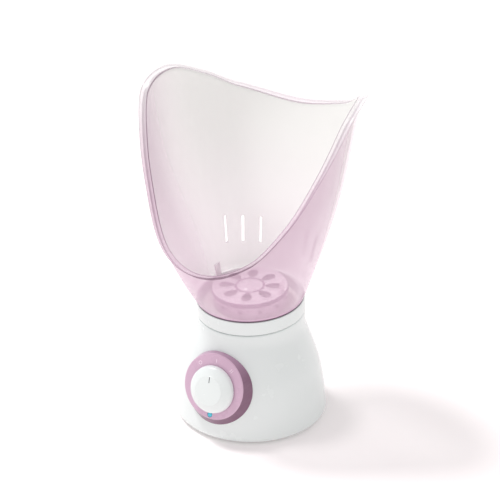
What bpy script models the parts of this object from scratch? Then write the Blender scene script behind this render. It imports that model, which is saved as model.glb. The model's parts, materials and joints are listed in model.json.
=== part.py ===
"""Tabletop facial steamer: heated base, dial, aroma basket and lift-off face mask.

Metres, +Z up, front (dial side) towards -Y, origin on the base axis at table height.
Two frames carry most pieces: the neck frame, tipped forward with the mask joint, and
the dial frame, whose +Z is the knob's shaft.
"""
import bpy
import bmesh
from math import cos, pi, radians, sin, sqrt
from mathutils import Matrix, Vector

MM = 0.001
GAP = 0.3 * MM                     # clearance between pieces that touch
MERGE = 0.00005

# Base housing
BASE_RADIUS = 63.4 * MM            # widest radius, just above the bottom edge
BASE_EDGE_Z = 1.5 * MM             # height of the housing's bottom edge
WIDEST_Z = 6.5 * MM
HOUSING_WALL = 2.2 * MM
PLATE_THICKNESS = 2.4 * MM
PLATE_EDGE = 5.2 * MM              # from the plate's edge in to its screws
VENT_LENGTH = 14 * MM
VENT_WIDTH = 2.4 * MM
VENT_CIRCLE = 22 * MM
BOSS_RADIUS = 3.6 * MM
BOSS_HEIGHT = 13 * MM
FOOT_RADIUS = 6 * MM
FOOT_INSET = 12.2 * MM             # from the plate's edge in to the feet

# Neck, collar and tank, measured along the neck's own axis
NECK_Z = 104 * MM                  # where the mask meets the collar, on the axis
NECK_TILT = radians(4.8)           # the joint is lower at the front
NECK_RADIUS = 44.2 * MM
COLLAR_HEIGHT = 11.8 * MM
COLLAR_FLARE = 0.4 * MM
COLLAR_WALL = 2.5 * MM
COLLAR_SKIRT = 4 * MM              # length inside the housing
COLLAR_SKIRT_WALL = 1.8 * MM
SPIGOT_DEPTH = 6 * MM
LEDGE_DEPTH = 9.3 * MM             # ledge in the collar that carries the tank
LEDGE_WIDTH = 4.4 * MM
TANK_DEPTH = 34 * MM
TANK_WALL = 2 * MM
TANK_FLANGE = 1.8 * MM
PLATE_RADIUS = 24.5 * MM           # heating plate
PLATE_RIM = 2 * MM
SEAL_WIDTH = 4 * MM
SEAL_THICKNESS = 1.7 * MM
TANK_BOSS_HEIGHT = 4.3 * MM
CLAMP_THICKNESS = 1.2 * MM
HEATER_TUBE = 2.4 * MM

# Aroma basket and steam path
BASKET_RADIUS = 30.5 * MM
BASKET_TOP = 7 * MM
BASKET_WALL = 1.5 * MM
CHIMNEY_RADIUS = 9.2 * MM
CHIMNEY_WALL = 1.6 * MM
CHIMNEY_TOP = 2 * MM               # above the neck
GUIDE_THICKNESS = 1.5 * MM
BASKET_HOLE = 1.5 * MM
FLANGE_OVERHANG = 0.7 * MM
FLANGE_THICKNESS = 1.4 * MM
LID_THICKNESS = 2 * MM
PETAL_WIDTH = 8.8 * MM
TAB_THICKNESS = 1.6 * MM
TAB_WIDTH = 7 * MM
TAB_HEIGHT = 14 * MM

# Mask
MASK_WALL = 2 * MM
LIP_RISE = 1.4 * MM
GASKET_THICKNESS = 0.8 * MM
SLOT_WIDTH = 2.3 * MM
SLOT_LOW = 27 * MM                 # above the neck
SLOT_HIGH = 50 * MM
SLOT_PITCH = 16                    # degrees between slots, none on the centre line

# Dial
DIAL_Z = 45.3 * MM                 # where the shaft axis leaves the housing
DIAL_TILT = radians(15)            # the dial faces slightly up
KNOB_RADIUS = 19.5 * MM
KNOB_RIM = 7.3 * MM                # sloping rim round the knob's flat disc
KNOB_HEIGHT = 7.5 * MM
KNOB_WALL = 1.6 * MM
BEZEL_RING = 7.4 * MM              # width of the face beyond the knob
BEZEL_FLARE = 3.1 * MM             # the foot is wider than the face
BEZEL_BORE = 9 * MM
BEZEL_PROUD = 3.1 * MM
BEZEL_OFFSET = 2 * MM              # the face sits above the foot's centre
SHAFT_RADIUS = 3 * MM
SHAFT_CLEARANCE = 0.15 * MM
BUSH_RADIUS = 4.6 * MM
SWITCH_SIDE = 20 * MM
LED_RADIUS = 2 * MM
LED_MARGIN = 1.9 * MM              # from the knob's edge to the lens's centre
LENS_DEPTH = 4 * MM
BOARD_DEPTH = 12.3 * MM            # front of the control board, behind the surface
BOARD_THICKNESS = 1.6 * MM
BOARD_WIDTH = 32 * MM
STANDOFF_RADIUS = 2.6 * MM
STANDOFF_X = 12.8 * MM
STANDOFF_V = -17 * MM              # along the dial face

# Mains side
GLAND_Z = 15 * MM
GLAND_NECK = 5.2 * MM
GLAND_FLANGE = 8 * MM
GLAND_PROUD = 2.2 * MM
CORD_BORE = 3.3 * MM
SADDLE = (24 * MM, 8 * MM, 5 * MM)
SADDLE_SCREW_X = 8.5 * MM
TERMINAL = (24 * MM, 9 * MM, 10 * MM)
WIRE_RADIUS = 0.9 * MM

# Screws: head radius, head height, shank radius, length
BASE_SCREW = (3.2 * MM, 1 * MM, 1.5 * MM, 10 * MM)
HEATER_SCREW = (2.8 * MM, 1.6 * MM, 1.4 * MM, 4.5 * MM)
BOARD_SCREW = (2.3 * MM, 1.4 * MM, 1.2 * MM, 5 * MM)
SADDLE_SCREW = (2.4 * MM, 1.4 * MM, 1.3 * MM, 4.8 * MM)

SEGMENTS = 28
SMALL_SEGMENTS = 10

# Sizes that follow from the ones above
WAIST_RADIUS = NECK_RADIUS + COLLAR_FLARE / 2      # housing, just under the collar
WAIST_Z = NECK_Z - COLLAR_HEIGHT - 4.2 * MM
PLATE_DISC = BASE_RADIUS - (WIDEST_Z - BASE_EDGE_Z) - HOUSING_WALL
SCREW_CIRCLE = PLATE_DISC - PLATE_EDGE
FOOT_CIRCLE = PLATE_DISC - FOOT_INSET
SPIGOT_RADIUS = NECK_RADIUS - COLLAR_WALL - GAP    # mask spigot, inside the collar
TANK_RADIUS = SPIGOT_RADIUS - LEDGE_WIDTH
TANK_FLOOR_HOLE = PLATE_RADIUS - SEAL_WIDTH
LID_RADIUS = BASKET_RADIUS + FLANGE_OVERHANG
BEZEL_FACE = KNOB_RADIUS + BEZEL_RING
BEZEL_FOOT = BEZEL_FACE + BEZEL_FLARE
KNOB_DISC = KNOB_RADIUS - KNOB_RIM
LED_V = -(KNOB_RADIUS + LED_MARGIN)                # LED below the shaft, along the dial face

WHITE = ("white_plastic", (0.86, 0.88, 0.87), 0.28, 0.0)
PINK = ("pink_bezel", (0.70, 0.44, 0.60), 0.3, 0.0)
CLEAR_PINK = ("clear_pink", (0.82, 0.62, 0.74), 0.15, 0.0)
CREAM = ("cream_plastic", (0.80, 0.78, 0.74), 0.45, 0.0)
RUBBER = ("grey_rubber", (0.45, 0.45, 0.46), 0.8, 0.0)
SILICONE = ("silicone", (0.62, 0.36, 0.48), 0.6, 0.0)
ALUMINIUM = ("aluminium", (0.70, 0.71, 0.72), 0.35, 1.0)
STEEL = ("steel", (0.55, 0.55, 0.56), 0.3, 1.0)
BOARD_GREEN = ("circuit_board", (0.04, 0.25, 0.12), 0.5, 0.0)
BLACK = ("black_plastic", (0.03, 0.03, 0.03), 0.5, 0.0)
TEAL = ("teal_lens", (0.05, 0.42, 0.50), 0.1, 0.0)
WIRE_BROWN = ("wire_brown", (0.22, 0.10, 0.05), 0.5, 0.0)
WIRE_BLUE = ("wire_blue", (0.05, 0.12, 0.45), 0.5, 0.0)


def clear_scene():
    for thing in list(bpy.data.objects):
        bpy.data.objects.remove(thing, do_unlink=True)


clear_scene()
parts = bpy.data.collections.new("facial_steamer")
cutters = bpy.data.collections.new("cutters")
bpy.context.scene.collection.children.link(parts)
bpy.context.scene.collection.children.link(cutters)


def make_material(look):
    name, colour, roughness, metallic = look
    material = bpy.data.materials.get(name)
    if material is None:
        material = bpy.data.materials.new(name)
        material.use_nodes = True
        shader = material.node_tree.nodes["Principled BSDF"]
        shader.inputs["Base Color"].default_value = (*colour, 1)
        shader.inputs["Roughness"].default_value = roughness
        shader.inputs["Metallic"].default_value = metallic
    return material


def add_empty(name, location, tilt):
    empty = bpy.data.objects.new(name, None)
    empty.location = location
    empty.rotation_euler = (tilt, 0, 0)
    parts.objects.link(empty)
    return empty


def add_object(name, data, look, parent=None, location=(0, 0, 0), rotation=(0, 0, 0)):
    """Put data in the scene as a part, or as a cutter when look is None."""
    thing = bpy.data.objects.new(name, data)
    thing.parent = parent
    thing.location = location
    thing.rotation_euler = rotation
    if look is None:
        cutters.objects.link(thing)
        thing.hide_render = True
        thing.display_type = 'WIRE'
    else:
        data.materials.append(make_material(look))
        parts.objects.link(thing)
    return thing


def smooth_through(keys, x):
    """Catmull-Rom value at x through (place, value) keys in rising order."""
    if x <= keys[0][0]:
        return keys[0][1]
    if x >= keys[-1][0]:
        return keys[-1][1]
    index = max(i for i in range(len(keys) - 1) if keys[i][0] <= x)
    before = keys[max(index - 1, 0)]
    low, high = keys[index], keys[index + 1]
    after = keys[min(index + 2, len(keys) - 1)]
    span = high[0] - low[0]
    t = (x - low[0]) / span
    slope_low = (high[1] - before[1]) / (high[0] - before[0]) * span
    slope_high = (after[1] - low[1]) / (after[0] - low[0]) * span
    return ((2 * t**3 - 3 * t**2 + 1) * low[1] + (t**3 - 2 * t**2 + t) * slope_low
            + (3 * t**2 - 2 * t**3) * high[1] + (t**3 - t**2) * slope_high)


def turned(name, profile, look, parent=None, closed=True, steps=SEGMENTS, **place):
    """Turn (radius, height) points, which run down the outer side, about Z."""
    count = len(profile)
    edges = [(i, i + 1) for i in range(count - 1)]
    if closed:
        edges.append((count - 1, 0))
    data = bpy.data.meshes.new(name)
    data.from_pydata([(r, 0, z) for r, z in profile], edges, [])
    thing = add_object(name, data, look, parent, **place)
    screw = thing.modifiers.new("turn", 'SCREW')
    screw.steps = steps
    screw.render_steps = steps
    screw.use_merge_vertices = True
    screw.merge_threshold = MERGE
    return thing


def box_mesh(name, size, centre=(0, 0, 0), rounded=0):
    """A box, with its edges rounded where a radius is given."""
    data = bpy.data.meshes.new(name)
    cage = bmesh.new()
    bmesh.ops.create_cube(cage, size=1)
    bmesh.ops.scale(cage, vec=size, verts=cage.verts)
    bmesh.ops.translate(cage, vec=centre, verts=cage.verts)
    if rounded:
        bmesh.ops.bevel(cage, geom=cage.edges[:], offset=rounded, segments=1,
                        affect='EDGES', profile=0.5)
    cage.to_mesh(data)
    cage.free()
    return data


def many_solids(name, shapes):
    """One cutter mesh from (kind, size, matrix) shapes that stay apart; a radius is to the flats."""
    data = bpy.data.meshes.new(name)
    cage = bmesh.new()
    to_corner = 1 / cos(pi / SMALL_SEGMENTS)
    for kind, size, matrix in shapes:
        if kind == "box":
            made = bmesh.ops.create_cube(cage, size=1)["verts"]
            bmesh.ops.scale(cage, vec=size, verts=made)
        else:
            radius, depth = size[0] * to_corner, size[1]
            made = bmesh.ops.create_cone(cage, cap_ends=True, segments=SMALL_SEGMENTS,
                                         radius1=radius, radius2=radius, depth=depth)["verts"]
        bmesh.ops.transform(cage, matrix=matrix, verts=made)
    cage.to_mesh(data)
    cage.free()
    return data


def boolean(thing, cutter, operation='DIFFERENCE'):
    cut = thing.modifiers.new(operation.lower(), 'BOOLEAN')
    cut.operation = operation
    cut.object = cutter


def around(count, first=0.0):
    """Angles of count evenly spaced places, in radians."""
    return [first + 2 * pi * i / count for i in range(count)]


def polar(radius, angle, z=0.0):
    return Vector((radius * cos(angle), radius * sin(angle), z))


def screw_fastener(name, sizes, **place):
    """Pan-head screw: its head's underside is at Z = 0 and its shank runs up +Z."""
    head_radius, head_height, shank_radius, length = sizes
    profile = [(0, length), (shank_radius, length), (shank_radius, 0), (head_radius, 0),
               (head_radius, -0.6 * head_height), (0.7 * head_radius, -head_height),
               (0, -head_height)]
    return turned(name, profile, STEEL, closed=False, steps=SMALL_SEGMENTS, **place)


def wire(name, look, route):
    """A round lead through hand-placed points in millimetres."""
    curve = bpy.data.curves.new(name, 'CURVE')
    curve.dimensions = '3D'
    curve.bevel_depth = WIRE_RADIUS
    curve.bevel_resolution = 2
    curve.use_fill_caps = True
    spline = curve.splines.new('POLY')
    lengths = list(range(len(route)))
    per_span = 3
    points = []
    for i in range((len(route) - 1) * per_span + 1):
        t = i / per_span
        points.append([smooth_through([(k, route[k][axis]) for k in lengths], t) * MM
                       for axis in range(3)])
    spline.points.add(len(points) - 1)
    for point, place in zip(spline.points, points):
        point.co = (*place, 1)
    return add_object(name, curve, look)


# The neck's axis crosses the base's axis where the collar meets the housing
NECK_Y = -COLLAR_HEIGHT * sin(NECK_TILT)
neck = add_empty("neck_frame", (0, NECK_Y, NECK_Z), NECK_TILT)


# Base housing outline, from the widest place up to the waist: share of the height, share of the taper
BELL = [(0.16, 0.053), (0.34, 0.158), (0.545, 0.358), (0.75, 0.684), (0.91, 0.953), (1, 1)]
OUTLINE = [(WIDEST_Z, BASE_RADIUS)]
OUTLINE += [(up * WAIST_Z, BASE_RADIUS - taper * (BASE_RADIUS - WAIST_RADIUS)) for up, taper in BELL]


def base_radius(z):
    return smooth_through(OUTLINE, z)


DIAL_Y = -base_radius(DIAL_Z)
GLAND_Y = base_radius(GLAND_Z)
dial = add_empty("dial_frame", (0, DIAL_Y, DIAL_Z), pi / 2 - DIAL_TILT)


def inside_depth(across, up):
    """How far behind the dial frame's origin the housing's inner wall lies, at a place on its face."""
    start_y = DIAL_Y + up * sin(DIAL_TILT)
    start_z = DIAL_Z + up * cos(DIAL_TILT)
    depth = 0.0
    for _ in range(12):
        radius = base_radius(start_z - depth * sin(DIAL_TILT)) - HOUSING_WALL
        depth = (-sqrt(radius**2 - across**2) - start_y) / cos(DIAL_TILT)
    return depth


# Front of the switch, behind the dial frame's origin
SWITCH_FRONT = 2 * GAP + max(inside_depth(SWITCH_SIDE / 2, SWITCH_SIDE / 2),
                             inside_depth(SWITCH_SIDE / 2, -SWITCH_SIDE / 2))


def housing_profile(extra=0.0):
    """Outer line of the housing from above the collar to its bottom edge."""
    top = NECK_Z
    shares = (1, 0.95, 0.9, 0.83, 0.75, 0.66, 0.54, 0.42, 0.3, 0.18)
    heights = [WAIST_Z * share for share in shares]
    line = [(WAIST_RADIUS + extra, top)]
    line += [(base_radius(z) + extra, z) for z in heights]
    corner = WIDEST_Z - BASE_EDGE_Z
    for angle in (0, 30, 60, 90):
        a = radians(angle)
        line.append((BASE_RADIUS + extra - corner * (1 - cos(a)),
                     WIDEST_Z - corner * sin(a)))
    return line


def make_housing():
    housing = turned("base_housing", housing_profile(), WHITE, closed=False)
    wall = housing.modifiers.new("wall", 'SOLIDIFY')
    wall.thickness = HOUSING_WALL
    wall.offset = -1
    wall.use_even_offset = True
    above = BASE_RADIUS
    top_cut = box_mesh("housing_top_cut", (3 * above, 3 * above, above),
                       (0, 0, above / 2 - COLLAR_HEIGHT - GAP))
    boolean(housing, add_object("housing_top_cut", top_cut, None, neck))
    boss_low = BASE_EDGE_Z + GAP + PLATE_THICKNESS + GAP
    boss_mid = boss_low + BOSS_HEIGHT / 2
    turns = around(4, pi / 4)
    rib_end = base_radius(boss_low + BOSS_HEIGHT) - HOUSING_WALL / 2
    rib_size = (rib_end - SCREW_CIRCLE, 2 * MM, BOSS_HEIGHT)
    rib_place = Matrix.Translation(((rib_end + SCREW_CIRCLE) / 2, 0, boss_mid))
    ribs = [("box", rib_size, Matrix.Rotation(a, 4, 'Z') @ rib_place) for a in turns]
    boolean(housing, add_object("boss_ribs", many_solids("boss_ribs", ribs), None), 'UNION')
    bosses = [("round", (BOSS_RADIUS, BOSS_HEIGHT), Matrix.Translation(polar(SCREW_CIRCLE, a, boss_mid)))
              for a in turns]
    boolean(housing, add_object("bosses", many_solids("bosses", bosses), None), 'UNION')
    pilot = (BASE_SCREW[2] + GAP, 2 * BASE_SCREW[3])
    pilots = [("round", pilot, Matrix.Translation(polar(SCREW_CIRCLE, a, boss_low))) for a in turns]
    boolean(housing, add_object("pilot_holes", many_solids("pilot_holes", pilots), None))
    depth = 16 * MM
    dial_holes = [("round", (BUSH_RADIUS + GAP, depth), Matrix()),
                  ("round", (LED_RADIUS + GAP, depth), Matrix.Translation((0, LED_V, 0)))]
    boolean(housing, add_object("dial_holes", many_solids("dial_holes", dial_holes), None, dial))
    gland_place = Matrix.Translation((0, GLAND_Y, GLAND_Z)) @ Matrix.Rotation(pi / 2, 4, 'X')
    gland_hole = [("round", (GLAND_NECK + GAP, depth), gland_place)]
    boolean(housing, add_object("gland_hole", many_solids("gland_hole", gland_hole), None))


def make_base_plate():
    bottom = BASE_EDGE_Z + GAP
    top = bottom + PLATE_THICKNESS
    plate = turned("base_plate", [(0, top), (PLATE_DISC, top), (PLATE_DISC, bottom), (0, bottom)],
                   CREAM, closed=False)
    head, head_height, shank, _ = BASE_SCREW
    through = 4 * PLATE_THICKNESS
    turns = around(4, pi / 4)
    holes = [("round", (shank + GAP, through), Matrix.Translation(polar(SCREW_CIRCLE, a, top)))
             for a in turns]
    boolean(plate, add_object("plate_holes", many_solids("plate_holes", holes), None))
    vent_place = Matrix.Translation((VENT_CIRCLE, 0, top))
    vents = [("box", (VENT_LENGTH, VENT_WIDTH, through), Matrix.Rotation(a, 4, 'Z') @ vent_place)
             for a in around(6, pi / 6)]
    boolean(plate, add_object("plate_vents", many_solids("plate_vents", vents), None))
    sink = (head + GAP, 2 * (head_height + GAP))
    sinks = [("round", sink, Matrix.Translation(polar(SCREW_CIRCLE, a, bottom))) for a in turns]
    boolean(plate, add_object("plate_sinks", many_solids("plate_sinks", sinks), None))
    for number, a in enumerate(turns, 1):
        screw_fastener(f"base_screw_{number}", BASE_SCREW,
                       location=polar(SCREW_CIRCLE, a, bottom + head_height))
    for number, a in enumerate(around(4), 1):
        height = BASE_EDGE_Z
        profile = [(0, height), (FOOT_RADIUS, height), (FOOT_RADIUS, 0.4 * MM),
                   (FOOT_RADIUS - 0.4 * MM, 0), (0, 0)]
        turned(f"foot_{number}", profile, RUBBER, closed=False, steps=20,
               location=polar(FOOT_CIRCLE, a))


def make_collar_and_tank():
    collar_bore = NECK_RADIUS - COLLAR_WALL
    skirt = WAIST_RADIUS - HOUSING_WALL - 2.5 * GAP
    ledge_bore = TANK_RADIUS + GAP
    low = -COLLAR_HEIGHT
    skirt_low = low - COLLAR_SKIRT
    turned("collar_ring", [
        (NECK_RADIUS - 0.5 * MM, 0), (NECK_RADIUS, -0.5 * MM), (NECK_RADIUS + COLLAR_FLARE, low),
        (skirt, low), (skirt, skirt_low), (skirt - COLLAR_SKIRT_WALL, skirt_low),
        (skirt - COLLAR_SKIRT_WALL, low), (ledge_bore, low),
        (ledge_bore, -LEDGE_DEPTH), (collar_bore, -LEDGE_DEPTH), (collar_bore, 0)], WHITE, neck)
    flange_low = -LEDGE_DEPTH + GAP
    flange_top = flange_low + TANK_FLANGE
    floor = -TANK_DEPTH
    boss_low = floor - TANK_BOSS_HEIGHT
    boss_out, boss_in = PLATE_RADIUS + 7.5 * MM, PLATE_RADIUS + 1.5 * MM
    tank = turned("water_tank", [
        (SPIGOT_RADIUS, flange_top), (SPIGOT_RADIUS, flange_low), (TANK_RADIUS, flange_low),
        (TANK_RADIUS - 0.8 * MM, floor + 3 * MM), (TANK_RADIUS - 4 * MM, floor),
        (boss_out, boss_low), (boss_in, boss_low), (boss_in, floor),
        (TANK_FLOOR_HOLE, floor), (TANK_FLOOR_HOLE, floor + TANK_WALL),
        (TANK_RADIUS - 5 * MM, floor + TANK_WALL), (TANK_RADIUS - 2.8 * MM, floor + 4.5 * MM),
        (TANK_RADIUS - TANK_WALL, flange_top)], WHITE, neck)
    screw_angles = around(3, pi / 2)
    boss_mid = (boss_out + boss_in) / 2
    pilot = (HEATER_SCREW[2] + GAP, 2 * HEATER_SCREW[3] - 1 * MM)
    holes = [("round", pilot, Matrix.Translation(polar(boss_mid, a, boss_low))) for a in screw_angles]
    boolean(tank, add_object("tank_pilots", many_solids("tank_pilots", holes), None, neck))
    seal_top = floor - GAP
    seal_low = seal_top - SEAL_THICKNESS
    turned("tank_seal", [(PLATE_RADIUS, seal_top), (PLATE_RADIUS, seal_low),
                         (TANK_FLOOR_HOLE + GAP, seal_low), (TANK_FLOOR_HOLE + GAP, seal_top)],
           SILICONE, neck)
    rim_top = seal_low - GAP
    rim_low = rim_top - PLATE_RIM
    step = TANK_FLOOR_HOLE - 0.7 * MM
    turned("heating_plate", [
        (0, seal_top - 1 * MM), (0.7 * step, seal_top - 0.6 * MM), (step, seal_top), (step, rim_top),
        (PLATE_RADIUS, rim_top), (PLATE_RADIUS, rim_low), (0, rim_low)], ALUMINIUM, neck, closed=False)
    clamp_top = min(rim_low, boss_low) - GAP
    clamp_low = clamp_top - CLAMP_THICKNESS
    clamp_bore = PLATE_RADIUS - 5.5 * MM
    clamp = turned("heater_clamp", [(boss_out, clamp_top), (boss_out, clamp_low),
                                    (clamp_bore, clamp_low), (clamp_bore, clamp_top)], STEEL, neck)
    holes = [("round", pilot, Matrix.Translation(polar(boss_mid, a, clamp_low))) for a in screw_angles]
    boolean(clamp, add_object("clamp_holes", many_solids("clamp_holes", holes), None, neck))
    for number, a in enumerate(screw_angles, 1):
        screw_fastener(f"heater_screw_{number}", HEATER_SCREW, parent=neck,
                       location=polar(boss_mid, a, clamp_low - GAP))
    make_heater(rim_low, clamp_low)


def make_heater(plate_low, clamp_low):
    tube = HEATER_TUBE
    coil_radius = PLATE_RADIUS - 11.5 * MM
    curve = bpy.data.curves.new("heating_element", 'CURVE')
    curve.dimensions = '3D'
    curve.bevel_depth = tube
    curve.bevel_resolution = 2
    curve.use_fill_caps = True
    count = 15
    sweep = radians(300)
    first = radians(-60)
    centre_z = plate_low - GAP - tube
    drop = 5 * MM
    arc = [polar(coil_radius, first + sweep * i / (count - 1), centre_z) for i in range(count)]
    line = [arc[0] - Vector((0, 0, drop)), *arc, arc[-1] - Vector((0, 0, drop))]
    spline = curve.splines.new('POLY')
    spline.points.add(len(line) - 1)
    for point, place in zip(spline.points, line):
        point.co = (*place, 1)
    add_object("heating_element", curve, STEEL, neck)
    top = plate_low - GAP
    inner = coil_radius - tube
    turned("thermostat", [
        (0, top), (inner - 2 * MM, top), (inner - 2 * MM, top - 1.5 * MM),
        (inner - 3.5 * MM, top - 1.5 * MM), (inner - 3.5 * MM, top - 6.5 * MM),
        (0, top - 6.5 * MM)], BLACK, neck, closed=False, steps=20)
    fuse = 1.9 * MM
    turned("thermal_fuse", [
        (0, 6 * MM), (fuse * 0.6, 6 * MM), (fuse, 5 * MM), (fuse, -5 * MM), (fuse * 0.6, -6 * MM),
        (0, -6 * MM)], CREAM, neck, closed=False, steps=SMALL_SEGMENTS,
        location=(PLATE_RADIUS - 1 * MM, 0, clamp_low - GAP - fuse), rotation=(pi / 2, 0, 0))


def make_steam_path():
    flange_top = -LEDGE_DEPTH + GAP + TANK_FLANGE
    low = flange_top + GAP
    top = low + GUIDE_THICKNESS
    outer = CHIMNEY_RADIUS + CHIMNEY_WALL
    guide_radius = SPIGOT_RADIUS - MASK_WALL - 2 * GAP
    turned("steam_guide", [
        (guide_radius, top), (guide_radius, low), (CHIMNEY_RADIUS, low),
        (CHIMNEY_RADIUS, CHIMNEY_TOP), (outer - 0.6 * MM, CHIMNEY_TOP), (outer, top)], CREAM, neck)
    floor = top + GAP
    tube_in = outer + 2 * GAP
    tube_out = tube_in + BASKET_WALL
    tube_top = CHIMNEY_TOP + 2 * MM
    inside = BASKET_RADIUS - BASKET_WALL
    flange_under = BASKET_TOP - FLANGE_THICKNESS
    basket = turned("aroma_basket", [
        (LID_RADIUS, BASKET_TOP), (LID_RADIUS, flange_under),
        (BASKET_RADIUS, flange_under), (BASKET_RADIUS, floor + 1 * MM),
        (BASKET_RADIUS - 1 * MM, floor), (tube_in, floor), (tube_in, tube_top),
        (tube_out, tube_top), (tube_out, floor + BASKET_WALL),
        (inside - 1 * MM, floor + BASKET_WALL), (inside, floor + BASKET_WALL + 1 * MM),
        (inside, BASKET_TOP)], CLEAR_PINK, neck)
    sideways = Matrix.Translation((BASKET_RADIUS, 0, 1 * MM)) @ Matrix.Rotation(pi / 2, 4, 'Y')
    holes = [("round", (BASKET_HOLE, 4 * BASKET_WALL), Matrix.Rotation(a, 4, 'Z') @ sideways)
             for a in around(10, pi / 10)]
    boolean(basket, add_object("basket_holes", many_solids("basket_holes", holes), None, neck))
    make_basket_lid()


def make_basket_lid():
    low = BASKET_TOP + GAP
    top = low + LID_THICKNESS
    lid = turned("basket_lid", [
        (0, top + 2 * MM), (6 * MM, top + 1.6 * MM), (9 * MM, top), (LID_RADIUS - 0.7 * MM, top),
        (LID_RADIUS, top - 0.7 * MM), (LID_RADIUS, low), (0, low)], CLEAR_PINK, neck, closed=False)
    petal_in = CHIMNEY_RADIUS + CHIMNEY_WALL + 1.7 * MM
    petal_out = LID_RADIUS - 5.7 * MM
    petal_shape = Matrix.Diagonal(((petal_out - petal_in) / 2, PETAL_WIDTH / 2, 1, 1))
    petal_place = Matrix.Translation(((petal_out + petal_in) / 2, 0, low)) @ petal_shape
    petals = [("round", (1, 4 * LID_THICKNESS), Matrix.Rotation(a, 4, 'Z') @ petal_place)
              for a in around(8, pi / 8)]
    boolean(lid, add_object("petals", many_solids("petals", petals), None, neck))
    for side in (-1, 1):
        tab = box_mesh("tab", (TAB_THICKNESS, TAB_WIDTH, TAB_HEIGHT),
                       (0, 0, TAB_HEIGHT / 2 - 1 * MM), 0.5 * MM)
        grip = add_object(f"tab_shape_{side}", tab, None, neck,
                          location=(side * (LID_RADIUS - 2.2 * MM), 0, top - 0.2 * MM),
                          rotation=(0, side * radians(6), 0))
        boolean(lid, grip, 'UNION')


# Mask sections in millimetres: height above the neck, and how much further than the neck's radius
# the outer wall reaches to the sides, the front and the back. The last moves a section's centre.
SIDE_REACH = [(0, 0), (26, 9), (56, 19), (96, 29.8), (136, 37.3), (181, 45.5)]
FRONT_REACH = [(0, 0), (30, 21.3), (60, 36.3), (100, 40.8), (140, 49.8), (181, 61.8)]
BACK_REACH = [(0, 0), (22, 1.6), (52, 5.3), (92, 18.3), (132, 34.2), (177, 48.8)]
CENTRE_SHIFT = [(0, 0), (56, 0.4), (96, -1.8), (136, -8.4), (181, -20.6)]
# Rim height above the neck, and how far its lip stands out from the wall, by angle from the front
RIM_HEIGHT = [(-36, 60.5), (0, 47), (36, 60.5), (54, 86.5), (72, 125.5), (90, 160.5), (108, 172.5),
              (126, 163.5), (144, 151), (180, 140.5), (216, 151)]
LIP_REACH = [(-54, 3.9), (0, 3.8), (54, 3.9), (90, 5.2), (108, 5.4), (144, 5.6), (216, 5.6)]


def mask_point(angle, height, grow=0.0):
    """Outer wall at an angle from the front and a height above the neck, about the neck centre."""
    h = height / MM
    half = NECK_RADIUS + smooth_through(SIDE_REACH, h) * MM
    shift = smooth_through(CENTRE_SHIFT, h) * MM
    if cos(angle) > 0:
        reach = NECK_RADIUS + smooth_through(FRONT_REACH, h) * MM + shift
    else:
        reach = NECK_RADIUS + smooth_through(BACK_REACH, h) * MM - shift
    normal = Vector((sin(angle) / half, -cos(angle) / reach, 0)).normalized()
    return Vector((half * sin(angle), shift - reach * cos(angle), 0)) + normal * grow


def neck_point(angle, radius, height):
    tip = Matrix.Rotation(NECK_TILT, 3, 'X')
    return tip @ Vector((radius * sin(angle), -radius * cos(angle), height))


def make_mask():
    columns = SEGMENTS
    rows = 6
    shoulder = GAP + GASKET_THICKNESS + GAP
    data = bpy.data.meshes.new("face_mask")
    cage = bmesh.new()
    grid = []
    for i in range(columns):
        angle = 2 * pi * i / columns
        degrees = min(360 * i / columns, 360 - 360 * i / columns)
        rim = smooth_through(RIM_HEIGHT, degrees) * MM
        lip = smooth_through(LIP_REACH, degrees) * MM
        foot = neck_point(angle, NECK_RADIUS, shoulder)
        column = [neck_point(angle, SPIGOT_RADIUS, -SPIGOT_DEPTH),
                  neck_point(angle, SPIGOT_RADIUS, shoulder), foot]
        for j in range(1, rows + 1):
            height = (rim - foot.z) * j / rows
            place = mask_point(angle, height)
            column.append(Vector((place.x, place.y, foot.z + height)))
        for share in (0.5, 1):
            place = mask_point(angle, rim - foot.z, lip * share)
            column.append(Vector((place.x, place.y, rim + LIP_RISE * share)))
        grid.append([cage.verts.new(point) for point in column])
    for i in range(columns):
        near, far = grid[i], grid[(i + 1) % columns]
        for j in range(len(near) - 1):
            cage.faces.new((near[j], far[j], far[j + 1], near[j + 1]))
    cage.to_mesh(data)
    cage.free()
    mask = add_object("face_mask", data, CLEAR_PINK, location=(0, NECK_Y, NECK_Z))
    wall = mask.modifiers.new("wall", 'SOLIDIFY')
    wall.thickness = MASK_WALL
    wall.offset = -1
    wall.use_even_offset = True
    slot_size = (SLOT_WIDTH, 8 * MASK_WALL, SLOT_HIGH - SLOT_LOW)
    middle = (SLOT_HIGH + SLOT_LOW) / 2
    slots = []
    for side in (-1, 1):
        for step in (1, 2, 3):
            off_centre = radians(side * SLOT_PITCH * step)
            spot = mask_point(pi + off_centre, middle)
            place = Matrix.Translation((spot.x, spot.y, middle)) @ Matrix.Rotation(off_centre, 4, 'Z')
            slots.append(("box", slot_size, place))
    boolean(mask, add_object("mask_slots", many_solids("mask_slots", slots), None,
                             location=(0, NECK_Y, NECK_Z)))
    turned("mask_gasket", [
        (NECK_RADIUS - 0.6 * MM, GAP + GASKET_THICKNESS), (NECK_RADIUS - 0.6 * MM, GAP),
        (SPIGOT_RADIUS + GAP, GAP), (SPIGOT_RADIUS + GAP, GAP + GASKET_THICKNESS)], SILICONE, neck)


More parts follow.
